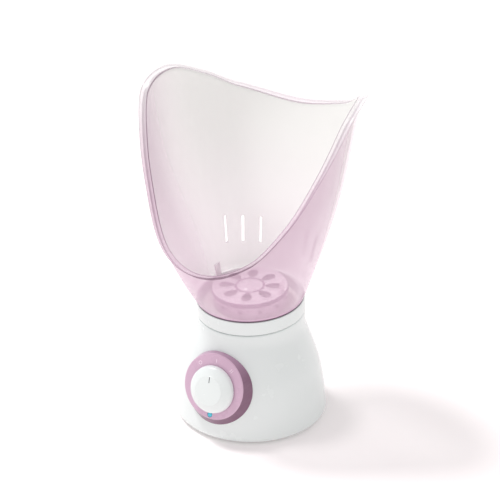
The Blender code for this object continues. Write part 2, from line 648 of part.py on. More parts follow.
def make_bezel():
    """A round face that stands off the curved housing, and a foot that follows it."""
    count = SEGMENTS
    edge = 0.6 * MM
    sunk = 1.5 * MM
    curve_radius = -DIAL_Y
    data = bpy.data.meshes.new("dial_bezel")
    cage = bmesh.new()
    rings = []
    for level in ("edge", "face", "foot"):
        ring = []
        for i in range(count):
            a = 2 * pi * i / count
            if level == "foot":
                across = BEZEL_FOOT * cos(a)
                depth = curve_radius - sqrt(curve_radius**2 - across**2) + sunk
                place = (across, BEZEL_FOOT * sin(a), -depth)
            else:
                radius = BEZEL_FACE - (edge if level == "edge" else 0)
                height = BEZEL_PROUD - (0 if level == "edge" else edge)
                place = (radius * cos(a), radius * sin(a) + BEZEL_OFFSET, height)
            ring.append(cage.verts.new(place))
        rings.append(ring)
    for upper, lower in zip(rings, rings[1:]):
        for i in range(count):
            j = (i + 1) % count
            cage.faces.new((upper[i], lower[i], lower[j], upper[j]))
    cage.faces.new(rings[0])
    hub = cage.verts.new((0, 0, -3 * MM))
    for i in range(count):
        cage.faces.new((rings[-1][(i + 1) % count], rings[-1][i], hub))
    cage.to_mesh(data)
    cage.free()
    bezel = add_object("dial_bezel", data, PINK, dial)
    line = [(0, NECK_Z)] + housing_profile(GAP) + [(0, BASE_EDGE_Z)]
    boolean(bezel, turned("body_shape", line, None, closed=False))
    through = 30 * MM
    holes = [("round", (BEZEL_BORE, through), Matrix()),
             ("round", (LED_RADIUS + GAP, through), Matrix.Translation((0, LED_V, 0)))]
    boolean(bezel, add_object("bezel_holes", many_solids("bezel_holes", holes), None, dial))


def make_knob():
    low = BEZEL_PROUD + 2 * GAP
    top = low + KNOB_HEIGHT
    shaft_top = top - 2 * MM
    skirt = KNOB_RADIUS - KNOB_WALL
    bore = SHAFT_RADIUS + GAP
    hub = 6.5 * MM
    knob = turned("dial_knob", [
        (0, top), (KNOB_DISC, top), (KNOB_DISC + 0.9 * MM, top - 0.3 * MM),
        (KNOB_RADIUS - 2.0 * MM, top - 1.8 * MM), (KNOB_RADIUS - 0.9 * MM, top - 2.8 * MM),
        (KNOB_RADIUS, low), (skirt, low), (skirt - 0.7 * MM, top - 4.2 * MM),
        (hub, top - 3.2 * MM), (hub, low + GAP), (bore, low + GAP),
        (bore, shaft_top + GAP), (0, shaft_top + GAP)], WHITE, dial, closed=False)
    groove = box_mesh("pointer_groove", (0.8 * MM, 5 * MM, 2 * MM))
    boolean(knob, add_object("pointer_groove", groove, None, dial, rotation=(radians(-18), 0, 0),
                             location=(0, KNOB_RADIUS - 4.4 * MM, top - 0.4 * MM)))
    body_front = -SWITCH_FRONT
    shaft_low = body_front + 2 * GAP
    turned("switch_shaft", [(0, shaft_top), (SHAFT_RADIUS, shaft_top), (SHAFT_RADIUS, shaft_low),
                            (0, shaft_low)], ALUMINIUM, dial, closed=False, steps=24)
    bush_in = SHAFT_RADIUS + SHAFT_CLEARANCE
    turned("switch_bushing", [(BUSH_RADIUS, BEZEL_PROUD), (BUSH_RADIUS, body_front + GAP),
                              (bush_in, body_front + GAP), (bush_in, BEZEL_PROUD)], STEEL, dial, steps=24)
    nut_in = (BUSH_RADIUS + GAP) / cos(pi / 6) + 0.1 * MM
    nut_out = nut_in + 1.4 * MM
    nut_low, nut_top = 0.5 * MM, 2.4 * MM
    turned("switch_nut", [(nut_out, nut_top), (nut_out, nut_low), (nut_in, nut_low), (nut_in, nut_top)],
           STEEL, dial, steps=6)
    depth = BOARD_DEPTH - GAP + body_front
    body = box_mesh("switch_body", (SWITCH_SIDE, SWITCH_SIDE, depth),
                    (0, 0, body_front - depth / 2), 0.6 * MM)
    add_object("switch_body", body, BLACK, dial)


def make_led_and_board():
    lens_top = BEZEL_PROUD + GAP
    lens_low = -LENS_DEPTH
    turned("led_lens", [(0, lens_top), (LED_RADIUS - 0.3 * MM, lens_top), (LED_RADIUS, lens_top - 0.3 * MM),
                        (LED_RADIUS, lens_low), (0, lens_low)], TEAL, dial, closed=False,
           steps=20, location=(0, LED_V, 0))
    led_top = lens_low - GAP
    led_low = -BOARD_DEPTH + GAP
    turned("led", [(0, led_top), (1 * MM, led_top - 0.3 * MM), (1.5 * MM, led_top - 1.2 * MM),
                   (1.5 * MM, led_low), (0, led_low)], TEAL, dial, closed=False,
           steps=SMALL_SEGMENTS, location=(0, LED_V, 0))
    board_low, board_high = LED_V - 5 * MM, 12 * MM
    board = box_mesh("control_board", (BOARD_WIDTH, board_high - board_low, BOARD_THICKNESS),
                     (0, (board_high + board_low) / 2, -BOARD_DEPTH - BOARD_THICKNESS / 2))
    board = add_object("control_board", board, BOARD_GREEN, dial)
    bore = BOARD_SCREW[2] + GAP
    spots = [(-STANDOFF_X, STANDOFF_V), (STANDOFF_X, STANDOFF_V)]
    holes = [("round", (bore, 5 * BOARD_THICKNESS), Matrix.Translation((x, v, -BOARD_DEPTH)))
             for x, v in spots]
    boolean(board, add_object("board_holes", many_solids("board_holes", holes), None, dial))
    stand_low = -BOARD_DEPTH + GAP
    side = STANDOFF_X + STANDOFF_RADIUS
    stand_top = -2 * GAP - max(inside_depth(side, STANDOFF_V + STANDOFF_RADIUS),
                               inside_depth(side, STANDOFF_V - STANDOFF_RADIUS))
    bore_top = stand_top - 1.5 * MM
    for name, (x, v) in zip(("left", "right"), spots):
        turned(f"board_standoff_{name}", [
            (0, stand_top), (STANDOFF_RADIUS, stand_top), (STANDOFF_RADIUS, stand_low), (bore, stand_low),
            (bore, bore_top), (0, bore_top)], CREAM, dial, closed=False,
            steps=SMALL_SEGMENTS, location=(x, v, 0))
        screw_fastener(f"board_screw_{name}", BOARD_SCREW, parent=dial,
                       location=(x, v, -BOARD_DEPTH - BOARD_THICKNESS - GAP))


def make_mains_side():
    base = BASE_EDGE_Z + GAP + PLATE_THICKNESS + GAP
    inner = 7 * MM
    inside = base_radius(GLAND_Z + inner) - HOUSING_WALL
    seat = BASE_RADIUS + GAP
    inner_top = sqrt(inside**2 - inner**2) - seat - GAP
    inner_low = inner_top - 1.8 * MM
    turned("cord_gland", [
        (GLAND_FLANGE - 0.5 * MM, GLAND_PROUD), (GLAND_FLANGE, GLAND_PROUD - 0.6 * MM),
        (GLAND_FLANGE, GAP), (GLAND_NECK, GAP), (GLAND_NECK, inner_top), (inner, inner_top),
        (inner, inner_low), (CORD_BORE, inner_low), (CORD_BORE, GLAND_PROUD)], RUBBER, steps=24,
        location=(0, seat, GLAND_Z), rotation=(-pi / 2, 0, 0))
    clamp_y = GLAND_Y - 17 * MM
    saddle_high = SADDLE[2]
    saddle = box_mesh("cord_clamp", SADDLE, (0, 0, saddle_high / 2), 0.6 * MM)
    saddle = add_object("cord_clamp", saddle, CREAM, location=(0, clamp_y, base))
    bore = (SADDLE_SCREW[2] + GAP, 4 * saddle_high)
    holes = [("round", bore, Matrix.Translation((side * SADDLE_SCREW_X, 0, 0))) for side in (-1, 1)]
    boolean(saddle, add_object("saddle_holes", many_solids("saddle_holes", holes), None,
                               location=(0, clamp_y, base)))
    for name, side in (("left", -1), ("right", 1)):
        screw_fastener(f"cord_clamp_screw_{name}", SADDLE_SCREW, rotation=(pi, 0, 0),
                       location=(side * SADDLE_SCREW_X, clamp_y, base + saddle_high + GAP))
    block_y = clamp_y - 15 * MM
    block = box_mesh("terminal_block", TERMINAL, (0, block_y, base + TERMINAL[2] / 2), 0.8 * MM)
    add_object("terminal_block", block, CREAM)
    make_wires(block_y / MM, (base + TERMINAL[2]) / MM + 1.3)


def make_wires(y, top):
    """Three leads: terminals to switch, terminals to heater, and switch to heater, in millimetres."""
    back_depth = BOARD_DEPTH + BOARD_THICKNESS
    back = (DIAL_Y + back_depth * cos(DIAL_TILT)) / MM
    dial_z = DIAL_Z / MM
    hot = (NECK_Z - TANK_DEPTH) / MM
    wire("wire_live", WIRE_BROWN, [
        (-8, y, top), (-9, y - 1, top + 5), (-13, y - 12, top + 10), (-16, -5, 30),
        (-13, back + 15.9, dial_z - 11.3), (-7, back + 5.9, dial_z - 9.8), (-6, back + 0.2, dial_z - 8.8)])
    wire("wire_neutral", WIRE_BLUE, [
        (0, y, top), (0.5, y - 2, top + 8), (-2, 14, hot - 32), (-6, -2, hot - 24), (-6.5, -8.4, hot - 15)])
    wire("wire_heater", WIRE_BROWN, [
        (7, back + 1.1, dial_z - 5.3), (7, back + 6.9, dial_z - 3.8), (7, back + 19.9, dial_z - 0.3),
        (6.7, -12, hot - 21), (6.5, -8.4, hot - 15)])


make_housing()
make_base_plate()
make_collar_and_tank()
make_steam_path()
make_mask()
make_bezel()
make_knob()
make_led_and_board()
make_mains_side()

for piece in parts.objects:
    if piece.type == 'MESH':
        piece.data.shade_smooth()
        piece.data.set_sharp_from_angle(angle=radians(35))
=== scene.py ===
import json
from math import atan2, cos, hypot, pi, radians, sin
import bmesh
import bpy
from mathutils import Matrix, Vector


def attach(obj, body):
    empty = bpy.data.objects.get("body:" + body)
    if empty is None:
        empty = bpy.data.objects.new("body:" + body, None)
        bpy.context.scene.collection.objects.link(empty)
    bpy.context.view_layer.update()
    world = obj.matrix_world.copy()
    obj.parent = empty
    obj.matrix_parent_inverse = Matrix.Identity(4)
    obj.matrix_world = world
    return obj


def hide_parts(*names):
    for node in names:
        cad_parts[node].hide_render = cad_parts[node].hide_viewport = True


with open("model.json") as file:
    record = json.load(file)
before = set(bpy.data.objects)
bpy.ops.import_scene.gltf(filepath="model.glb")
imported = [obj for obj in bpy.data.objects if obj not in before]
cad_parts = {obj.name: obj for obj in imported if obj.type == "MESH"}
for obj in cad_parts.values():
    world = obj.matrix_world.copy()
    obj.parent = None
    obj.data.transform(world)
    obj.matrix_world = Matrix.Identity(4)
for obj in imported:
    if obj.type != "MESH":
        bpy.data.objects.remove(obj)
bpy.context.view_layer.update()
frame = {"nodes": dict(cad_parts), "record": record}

mm = 0.001   # lengths in the dictionaries are in millimetres


# ---- shader maths ----
class Link:
    def __init__(self, shade, socket):
        self.shade = shade
        self.socket = socket

    def math(self, operation, first, second):
        node = self.shade.node("ShaderNodeMath", {"operation": operation}, {0: first, 1: second})
        return Link(self.shade, node.outputs[0])

    def __add__(self, other): return self.math('ADD', self, other)
    def __radd__(self, other): return self.math('ADD', other, self)
    def __sub__(self, other): return self.math('SUBTRACT', self, other)
    def __rsub__(self, other): return self.math('SUBTRACT', other, self)
    def __mul__(self, other): return self.math('MULTIPLY', self, other)
    def __rmul__(self, other): return self.math('MULTIPLY', other, self)
    def __truediv__(self, other): return self.math('DIVIDE', self, other)
    def __pow__(self, other): return self.math('POWER', self, other)

    def clamped(self, low=0.0, high=1.0):
        return self.math('MINIMUM', self.math('MAXIMUM', self, low), high)


class Shade:
    def __init__(self, name, **values):
        self.material = bpy.data.materials.new(name)
        self.material.use_nodes = True
        self.tree = self.material.node_tree
        self.shader = self.tree.nodes["Principled BSDF"]
        for socket, value in values.items():
            self.give(self.shader.inputs[socket.replace("_", " ")], value)
        self.place = Link(self, self.node("ShaderNodeTexCoord").outputs["Object"])

    def give(self, socket, value):
        if isinstance(value, Link):
            self.tree.links.new(value.socket, socket)
        elif isinstance(value, tuple) and len(value) == 3 and len(socket.default_value) == 4:
            socket.default_value = (*value, 1)
        else:
            socket.default_value = value

    def node(self, kind, settings=None, values=None):
        made = self.tree.nodes.new(kind)
        for key, value in (settings or {}).items():
            setattr(made, key, value)
        for key, value in (values or {}).items():
            self.give(made.inputs[key], value)
        return made

    def axis(self, letter):
        split = self.node("ShaderNodeSeparateXYZ", values={"Vector": self.place})
        return Link(self, split.outputs[letter])

    def stretched(self, sizes):
        node = self.node("ShaderNodeVectorMath", {"operation": 'MULTIPLY'}, {0: self.place, 1: sizes})
        return Link(self, node.outputs[0])

    def noise(self, scale, detail=3.0, roughness=0.5, where=None):
        made = self.node("ShaderNodeTexNoise", values={
            "Vector": where or self.place, "Scale": scale, "Detail": detail, "Roughness": roughness})
        return Link(self, made.outputs["Fac"])

    def mix(self, factor, first, second):
        made = self.node("ShaderNodeMix", {"data_type": 'RGBA'})
        self.give(made.inputs[0], factor)
        self.give(made.inputs[6], first)
        self.give(made.inputs[7], second)
        return Link(self, made.outputs[2])

    def between(self, value, low, high):
        made = self.node("ShaderNodeMapRange", {"interpolation_type": 'SMOOTHSTEP'}, {
            "Value": value, "From Min": low, "From Max": high})
        return Link(self, made.outputs["Result"])

    def bump(self, height, strength, distance):
        made = self.node("ShaderNodeBump", values={
            "Height": height, "Strength": strength, "Distance": distance})
        self.give(self.shader.inputs["Normal"], Link(self, made.outputs["Normal"]))

    def set(self, socket, value):
        self.give(self.shader.inputs[socket], value)


def mouldedPlastic(name, colour, tint, roughness, grain=0.02, coat=0.25):
    shade = Shade(name, Roughness=roughness, Coat_Weight=coat, Coat_Roughness=0.12, IOR=1.49)
    drift = shade.noise(14, 2)
    shade.set("Base Color", shade.mix(drift, colour, tint))
    shade.set("Roughness", roughness - 0.04 + 0.08 * shade.noise(90, 3))
    shade.bump(shade.noise(2600, 2), grain, 0.0001)
    return shade


def whitePlasticShade():
    return mouldedPlastic("whitePlastic", (0.82, 0.87, 0.86), (0.84, 0.88, 0.87), 0.26, coat=0.15).material


def pinkPlasticShade():
    return mouldedPlastic("pinkPlastic", (0.66, 0.44, 0.58), (0.68, 0.46, 0.60), 0.28, coat=0.2).material


def pinkSideShade():   # the bezel's side: painted shade, darker than the face and darker still towards its lower edge, with brushed streaks
    shade = Shade("shadedPinkSide", Roughness=0.3, Coat_Weight=0.3, Coat_Roughness=0.15, IOR=1.49)
    x, z = shade.axis("X"), shade.axis("Z")
    # painted shade: the colour deepens from a mid mauve to a deep one towards the side's lower edge
    paintedShade = shade.between(0.078 - z + 0.5 * x, 0.0, 0.042)
    streaks = shade.noise(1.0, 2, where=shade.stretched((500, 40, 500)))
    colour = shade.mix(paintedShade, (0.52, 0.31, 0.45), (0.19, 0.08, 0.145))
    shade.set("Base Color", shade.mix(0.25 * streaks, colour, (0.40, 0.24, 0.34)))
    return shade.material


def creamPlasticShade():
    return mouldedPlastic("creamPlastic", (0.74, 0.72, 0.68), (0.77, 0.75, 0.71), 0.5, 0.12, 0.0).material


def rubberShade():
    shade = Shade("greyRubber", Roughness=0.85)
    shade.set("Base Color", shade.mix(shade.noise(60), (0.30, 0.30, 0.31), (0.36, 0.36, 0.37)))
    shade.bump(shade.noise(1500, 4), 0.25, 0.0002)
    return shade.material


def siliconeShade():
    shade = Shade("mauveSilicone", Roughness=0.5)
    shade.set("Base Color", shade.mix(shade.noise(50), (0.12, 0.07, 0.11), (0.16, 0.09, 0.14)))
    return shade.material


def maskShade(name, settings):   # tinted clear plastic, denser low down and towards the front
    roughness = settings["roughness"]
    shade = Shade(name, Roughness=roughness, IOR=1.49, Coat_Weight=settings["coat"], Coat_Roughness=0.1)
    rise = shade.between(shade.axis("Z"), *settings["span"])
    back = shade.between(shade.axis("Y"), -0.035, 0.04)
    front, rear, foot = settings["front"], settings["rear"], settings["foot"]
    rear = settings["rearLow"] + rise * (rear - settings["rearLow"])
    wall = front + (rear - front) * back
    dense = (1 - rise) * (1 - back)
    shade.set("Base Color", shade.mix(rise, settings["low"], settings["high"]))
    shade.set("Alpha", (wall + (foot - wall) * dense + 0.03 * (shade.noise(9, 2) - 0.5)).clamped())
    shade.set("Roughness", roughness - 0.03 + 0.06 * shade.noise(120, 2))
    shade.bump(shade.noise(1800, 2), 0.015, 0.0001)
    return shade.material


tints = {
    "outside": {"high": (0.62, 0.43, 0.55), "low": (0.80, 0.57, 0.72), "span": (0.12, 0.21), "front": 0.74,
                "rear": 0.14, "rearLow": 0.14, "foot": 0.62, "roughness": 0.25, "coat": 0.1},
    "inside": {"high": (0.88, 0.90, 0.86), "low": (0.98, 0.98, 0.96), "span": (0.13, 0.25), "front": 0.08,
               "rear": 0.78, "rearLow": 0.62, "foot": 0.06, "roughness": 0.4, "coat": 0.0},
    "lip": {"high": (0.97, 0.93, 0.95), "low": (0.76, 0.52, 0.67), "span": (0.19, 0.28), "front": 0.45,
            "rear": 0.4, "rearLow": 0.4, "foot": 0.45, "roughness": 0.25, "coat": 0.1},
    # painted shade: a dark tint for the mask's rolled edges and slot walls, in place of how clear plastic
    # darkens at its edges
    "edge": {"high": (0.36, 0.28, 0.33), "low": (0.26, 0.15, 0.22), "span": (0.19, 0.28), "front": 0.85,
             "rear": 0.4, "rearLow": 0.4, "foot": 0.85, "roughness": 0.25, "coat": 0.1},
    "basket": {"high": (0.98, 0.90, 0.94), "low": (0.98, 0.87, 0.93), "span": (0.112, 0.125), "front": 0.7,
               "rear": 0.7, "rearLow": 0.7, "foot": 0.6, "roughness": 0.25, "coat": 0.1},
    # painted shade: a dark tint for the basket's rim, hole walls, lid groove and petal walls, in place of how
    # clear plastic darkens at its edges
    "basketEdgePaintedShade": {"high": (0.30, 0.17, 0.26), "low": (0.22, 0.09, 0.19), "span": (0.104, 0.125),
                   "front": 0.8, "rear": 0.8, "rearLow": 0.8, "foot": 0.85, "roughness": 0.3, "coat": 0.0},
}


def aluminiumShade():
    shade = Shade("turnedAluminium", Metallic=1.0, Roughness=0.35)
    x, y = shade.axis("X"), shade.axis("Y")
    ringsOut = (x * x + y * y) ** 0.5
    lines = shade.node("ShaderNodeMath", {"operation": 'SINE'}, {0: ringsOut * 9000})
    shade.set("Base Color", shade.mix(shade.noise(40), (0.62, 0.63, 0.64), (0.72, 0.73, 0.74)))
    shade.bump(Link(shade, lines.outputs[0]), 0.15, 0.00005)
    return shade.material


def steelShade():
    shade = Shade("platedSteel", Metallic=1.0, Roughness=0.3)
    shade.set("Base Color", shade.mix(shade.noise(70), (0.50, 0.50, 0.51), (0.62, 0.62, 0.63)))
    shade.set("Roughness", 0.24 + 0.15 * shade.noise(160))
    return shade.material


def boardShade():
    shade = Shade("circuitBoard", Roughness=0.4)
    weave = shade.noise(400, 2)
    shade.set("Base Color", shade.mix(weave, (0.03, 0.20, 0.09), (0.05, 0.28, 0.13)))
    return shade.material


def blackShade():
    low, high = (0.025, 0.025, 0.027), (0.045, 0.045, 0.047)
    return mouldedPlastic("blackPhenolic", low, high, 0.5, 0.1, 0.0).material


def wireShade(name, colour):
    return mouldedPlastic(name, colour, tuple(c * 1.2 for c in colour), 0.5, 0.05, 0.0).material


def lensShade():
    shade = Shade("tealLens", Roughness=0.12, Emission_Strength=0.35)
    # the lens glows from the LED behind it; the light-blue speckles this noise mixes in are painted glints
    glow = shade.noise(900, 1)
    shade.set("Base Color", shade.mix(glow, (0.02, 0.30, 0.40), (0.10, 0.50, 0.60)))
    shade.set("Emission Color", shade.mix(glow, (0.02, 0.35, 0.48), (0.20, 0.65, 0.75)))
    return shade.material


def paintShade(name, colour):
    shade = Shade(name, Roughness=0.55)
    shade.set("Base Color", shade.mix(shade.noise(700), colour, tuple(min(1, c * 1.08) for c in colour)))
    return shade.material


whitePlastic = whitePlasticShade()
pinkPlastic = pinkPlasticShade()
shadedPinkSide = pinkSideShade()
creamPlastic = creamPlasticShade()
greyRubber = rubberShade()
mauveSilicone = siliconeShade()
maskOutside = maskShade("maskOutside", tints["outside"])
maskInside = maskShade("maskInside", tints["inside"])
maskLip = maskShade("maskLip", tints["lip"])
maskEdgePaintedShade = maskShade("maskEdgePaintedShade", tints["edge"])
basketPink = maskShade("basketPink", tints["basket"])
basketEdgePaintedShade = maskShade("basketEdgePaintedShade", tints["basketEdgePaintedShade"])
aluminium = aluminiumShade()
steel = steelShade()
boardGreen = boardShade()
blackPhenolic = blackShade()
tealLens = lensShade()
wireBrown = wireShade("brownSleeve", (0.20, 0.09, 0.05))
wireBlue = wireShade("blueSleeve", (0.04, 0.10, 0.40))
markPaint = paintShade("palePrint", (0.86, 0.70, 0.80))
pointerPaint = paintShade("greyPrint", (0.16, 0.16, 0.17))
print("materials ready")


# ---- shape helpers ----
def smoothThrough(keys, x):
    if x <= keys[0][0]:
        return keys[0][1]
    if x >= keys[-1][0]:
        return keys[-1][1]
    index = max(i for i in range(len(keys) - 1) if keys[i][0] <= x)
    before, low, high = keys[max(index - 1, 0)], keys[index], keys[index + 1]
    after = keys[min(index + 2, len(keys) - 1)]
    span = high[0] - low[0]
    t = (x - low[0]) / span
    slopeLow = (high[1] - before[1]) / (high[0] - before[0]) * span
    slopeHigh = (after[1] - low[1]) / (after[0] - low[0]) * span
    return ((2 * t**3 - 3 * t**2 + 1) * low[1] + (t**3 - 2 * t**2 + t) * slopeLow
            + (3 * t**2 - 2 * t**3) * high[1] + (t**3 - t**2) * slopeHigh)


def rounded(points, radius, steps=4, closed=True):   # soft corners on an outline, as short curves
    count = len(points)
    line = []
    for i, here in enumerate(points):
        here = Vector(here)
        if not closed and i in (0, count - 1):
            line.append(here)
            continue
        before = Vector(points[i - 1]) - here
        after = Vector(points[(i + 1) % count]) - here
        turn = before.angle(after, pi)
        reach = min(radius, 0.45 * before.length, 0.45 * after.length)
        if pi - turn < radians(8):
            line.append(here)
            continue
        start, end = here + before.normalized() * reach, here + after.normalized() * reach
        for k in range(steps + 1):
            t = k / steps
            line.append(start * (1 - t)**2 + here * 2 * t * (1 - t) + end * t**2)
    return line


def finishMesh(name, cage, materials, sharp=40):
    bmesh.ops.remove_doubles(cage, verts=cage.verts, dist=1e-7)
    data = bpy.data.meshes.new(name)
    cage.to_mesh(data)
    cage.free()
    for material in materials:
        data.materials.append(material)
    data.shade_smooth()
    data.set_sharp_from_angle(angle=radians(sharp))
    thing = bpy.data.objects.new(name, data)
    bpy.context.scene.collection.objects.link(thing)
    return thing


def loftRound(name, columns, sectionAt, materials, closed=True, inks=None, sharp=40):
    # joins a section at each angle round to the next; a point at radius 0 closes the middle
    cage = bmesh.new()
    rings = [[cage.verts.new(p) for p in sectionAt(2 * pi * i / columns)] for i in range(columns)]
    count = len(rings[0])
    steps = count if closed else count - 1
    for i in range(columns):
        near, far = rings[i], rings[(i + 1) % columns]
        for j in range(steps):
            k = (j + 1) % count
            face = cage.faces.new((near[j], near[k], far[k], far[j]))
            if inks:
                face.material_index = inks[j]
    cage.normal_update()
    return finishMesh(name, cage, materials, sharp)


def turned(name, outline, materials, place=None, soft=0.4, columns=96, closed=True):
    # outline of (radius, height) in millimetres, running down the outer side
    place = place or Matrix()
    line = rounded([(r, 0, z) for r, z in outline], soft, 3, closed)
    points = [(max(p.x, 0) * mm, p.z * mm) for p in line]

    def sectionAt(angle):
        return [place @ Vector((r * sin(angle), -r * cos(angle), z)) for r, z in points]
    return loftRound(name, columns, sectionAt, materials, closed)


def roundCutter(name, radius, high, low, place, material, columns=40):
    outline = [(0, high), (radius, high), (radius, low), (0, low)]
    return turned(name, outline, [material], place, 0.01, columns, False)


def inkFaces(thing, slot, test):   # gives a slot to the faces whose middle, in millimetres, passes the test
    for face in thing.data.polygons:
        spot = face.center / mm
        if test(hypot(spot.x, spot.y), spot.z):
            face.material_index = slot


def unit(vector):
    return Vector(vector).normalized()


def placeFrom(origin, axis):
    up = unit(axis)
    side = Vector((1, 0, 0))
    back = up.cross(side)
    turn = Matrix((side, back, up)).transposed().to_4x4()
    return Matrix.Translation(origin) @ turn


def boxMesh(name, size, place, materials, soft=0.3):
    cage = bmesh.new()
    bmesh.ops.create_cube(cage, size=1)
    bmesh.ops.scale(cage, vec=[s * mm for s in size], verts=cage.verts)
    bmesh.ops.bevel(cage, geom=cage.edges[:], offset=soft * mm, segments=3, affect='EDGES', profile=0.5)
    bmesh.ops.transform(cage, matrix=place, verts=cage.verts)
    return finishMesh(name, cage, materials)


def pillMesh(name, width, depth, length, place, materials):   # a slot's cutter: round-ended, long along Z
    cage = bmesh.new()
    half = width / 2
    straight = length / 2 - half
    ends = [(half * cos(a), straight + half * sin(a)) for a in (pi * k / 8 for k in range(9))]
    ring = ends + [(-x, -z) for x, z in ends]
    front = [cage.verts.new((x * mm, -depth / 2 * mm, z * mm)) for x, z in ring]
    back = [cage.verts.new((x * mm, depth / 2 * mm, z * mm)) for x, z in ring]
    cage.faces.new(list(front))
    cage.faces.new(list(reversed(back)))
    for i in range(len(ring)):
        j = (i + 1) % len(ring)
        cage.faces.new((front[j], front[i], back[i], back[j]))
    bmesh.ops.recalc_face_normals(cage, faces=cage.faces)
    bmesh.ops.transform(cage, matrix=place, verts=cage.verts)
    return finishMesh(name, cage, materials)


def joined(name, pieces):
    cage = bmesh.new()
    materials = []
    for piece in pieces:
        start = len(cage.faces)
        cage.from_mesh(piece.data)
        cage.faces.ensure_lookup_table()
        for face in cage.faces[start:]:
            material = piece.data.materials[face.material_index]
            if material not in materials:
                materials.append(material)
            face.material_index = materials.index(material)
        bpy.data.objects.remove(piece)
    return finishMesh(name, cage, materials)


def withBoolean(thing, cutter, operation='DIFFERENCE'):
    step = thing.modifiers.new("cut", 'BOOLEAN')
    step.operation = operation
    step.object = cutter
    step.solver = 'EXACT'
    step.material_mode = 'TRANSFER'
    baked = bakedMesh(thing)
    bpy.data.objects.remove(cutter)
    return baked


def bakedMesh(thing):
    graph = bpy.context.evaluated_depsgraph_get()
    data = bpy.data.meshes.new_from_object(thing.evaluated_get(graph), depsgraph=graph)
    thing.modifiers.clear()
    thing.data = data
    data.shade_smooth()
    data.set_sharp_from_angle(angle=radians(40))
    return thing


# ---- Geometry Nodes: a shape repeated round a ring, to add or to cut away ----
def ringTree(name, cuts):
    tree = bpy.data.node_groups.new(name, 'GeometryNodeTree')
    face = tree.interface
    face.new_socket("Geometry", in_out='INPUT', socket_type='NodeSocketGeometry')
    face.new_socket("Shape", in_out='INPUT', socket_type='NodeSocketObject')
    face.new_socket("Count", in_out='INPUT', socket_type='NodeSocketInt')
    face.new_socket("Ring radius", in_out='INPUT', socket_type='NodeSocketFloat')
    face.new_socket("Height", in_out='INPUT', socket_type='NodeSocketFloat')
    face.new_socket("First angle", in_out='INPUT', socket_type='NodeSocketFloat')
    face.new_socket("Material", in_out='INPUT', socket_type='NodeSocketMaterial')
    face.new_socket("Geometry", in_out='OUTPUT', socket_type='NodeSocketGeometry')
    add = tree.nodes.new
    link = tree.links.new
    inside, outside = add('NodeGroupInput'), add('NodeGroupOutput')
    circle = add('GeometryNodeMeshCircle')
    link(inside.outputs["Count"], circle.inputs["Vertices"])
    link(inside.outputs["Ring radius"], circle.inputs["Radius"])
    raised = add('ShaderNodeCombineXYZ')
    link(inside.outputs["Height"], raised.inputs["Z"])
    turn = add('ShaderNodeCombineXYZ')
    link(inside.outputs["First angle"], turn.inputs["Z"])
    move = add('GeometryNodeTransform')
    link(circle.outputs["Mesh"], move.inputs["Geometry"])
    link(raised.outputs[0], move.inputs["Translation"])
    link(turn.outputs[0], move.inputs["Rotation"])
    spot = add('GeometryNodeInputPosition')
    flat = add('ShaderNodeVectorMath')
    flat.operation = 'MULTIPLY'
    link(spot.outputs[0], flat.inputs[0])
    flat.inputs[1].default_value = (1, 1, 0)
    aim = add('FunctionNodeAlignEulerToVector')
    aim.axis = 'X'
    link(flat.outputs[0], aim.inputs["Vector"])
    shape = add('GeometryNodeObjectInfo')
    link(inside.outputs["Shape"], shape.inputs["Object"])
    copies = add('GeometryNodeInstanceOnPoints')
    link(move.outputs["Geometry"], copies.inputs["Points"])
    link(shape.outputs["Geometry"], copies.inputs["Instance"])
    link(aim.outputs["Rotation"], copies.inputs["Rotation"])
    real = add('GeometryNodeRealizeInstances')
    link(copies.outputs["Instances"], real.inputs["Geometry"])
    painted = add('GeometryNodeSetMaterial')
    link(inside.outputs["Material"], painted.inputs["Material"])
    link(real.outputs["Geometry"], painted.inputs["Geometry"])
    if cuts:
        cut = add('GeometryNodeMeshBoolean')
        cut.operation = 'DIFFERENCE'
        cut.solver = 'EXACT'
        link(inside.outputs["Geometry"], cut.inputs["Mesh 1"])
        link(painted.outputs["Geometry"], cut.inputs["Mesh 2"])
        link(cut.outputs["Mesh"], outside.inputs["Geometry"])
    else:
        link(painted.outputs["Geometry"], outside.inputs["Geometry"])
    return tree


ringOf = ringTree("ringOfShapes", False)
ringCut = ringTree("ringOfCuts", True)


def roundRing(thing, tree, shape, settings):
    step = thing.modifiers.new("ring", 'NODES')
    step.node_group = tree
    ids = {item.name: item.identifier for item in tree.interface.items_tree if item.in_out == 'INPUT'}
    for key, value in {**settings, "Shape": shape}.items():
        step[ids[key]] = value
    baked = bakedMesh(thing)
    bpy.data.objects.remove(shape)
    return baked


def emptyMesh(name):
    thing = bpy.data.objects.new(name, bpy.data.meshes.new(name))
    bpy.context.scene.collection.objects.link(thing)
    return thing


def settle(thing, place):   # writes a place into the mesh, and leaves the object at the origin
    thing.data.transform(place)
    thing.matrix_world = Matrix()
    thing.data.update()
    return thing


def keep(piece, body, slotName, *nodes):
    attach(piece, body)
    if nodes:
        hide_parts(*nodes)


# ---- the neck and the dial, and their places in the frame ----
neck = {"z": 104, "radius": 44.2, "collarHeight": 11.8, "flare": 0.4, "spigot": 41.4, "spigotDepth": 6,
        "ledge": 9.3, "skirtOuter": 41.45, "skirtInner": 39.65, "skirtDepth": 4}

dial = {"foot": 30, "face": 26.9, "proud": 3.1, "offset": 2, "hole": 9, "shaftHole": 4.9, "ledHole": 2.3,
        "ledDrop": 21.4, "columns": 160}

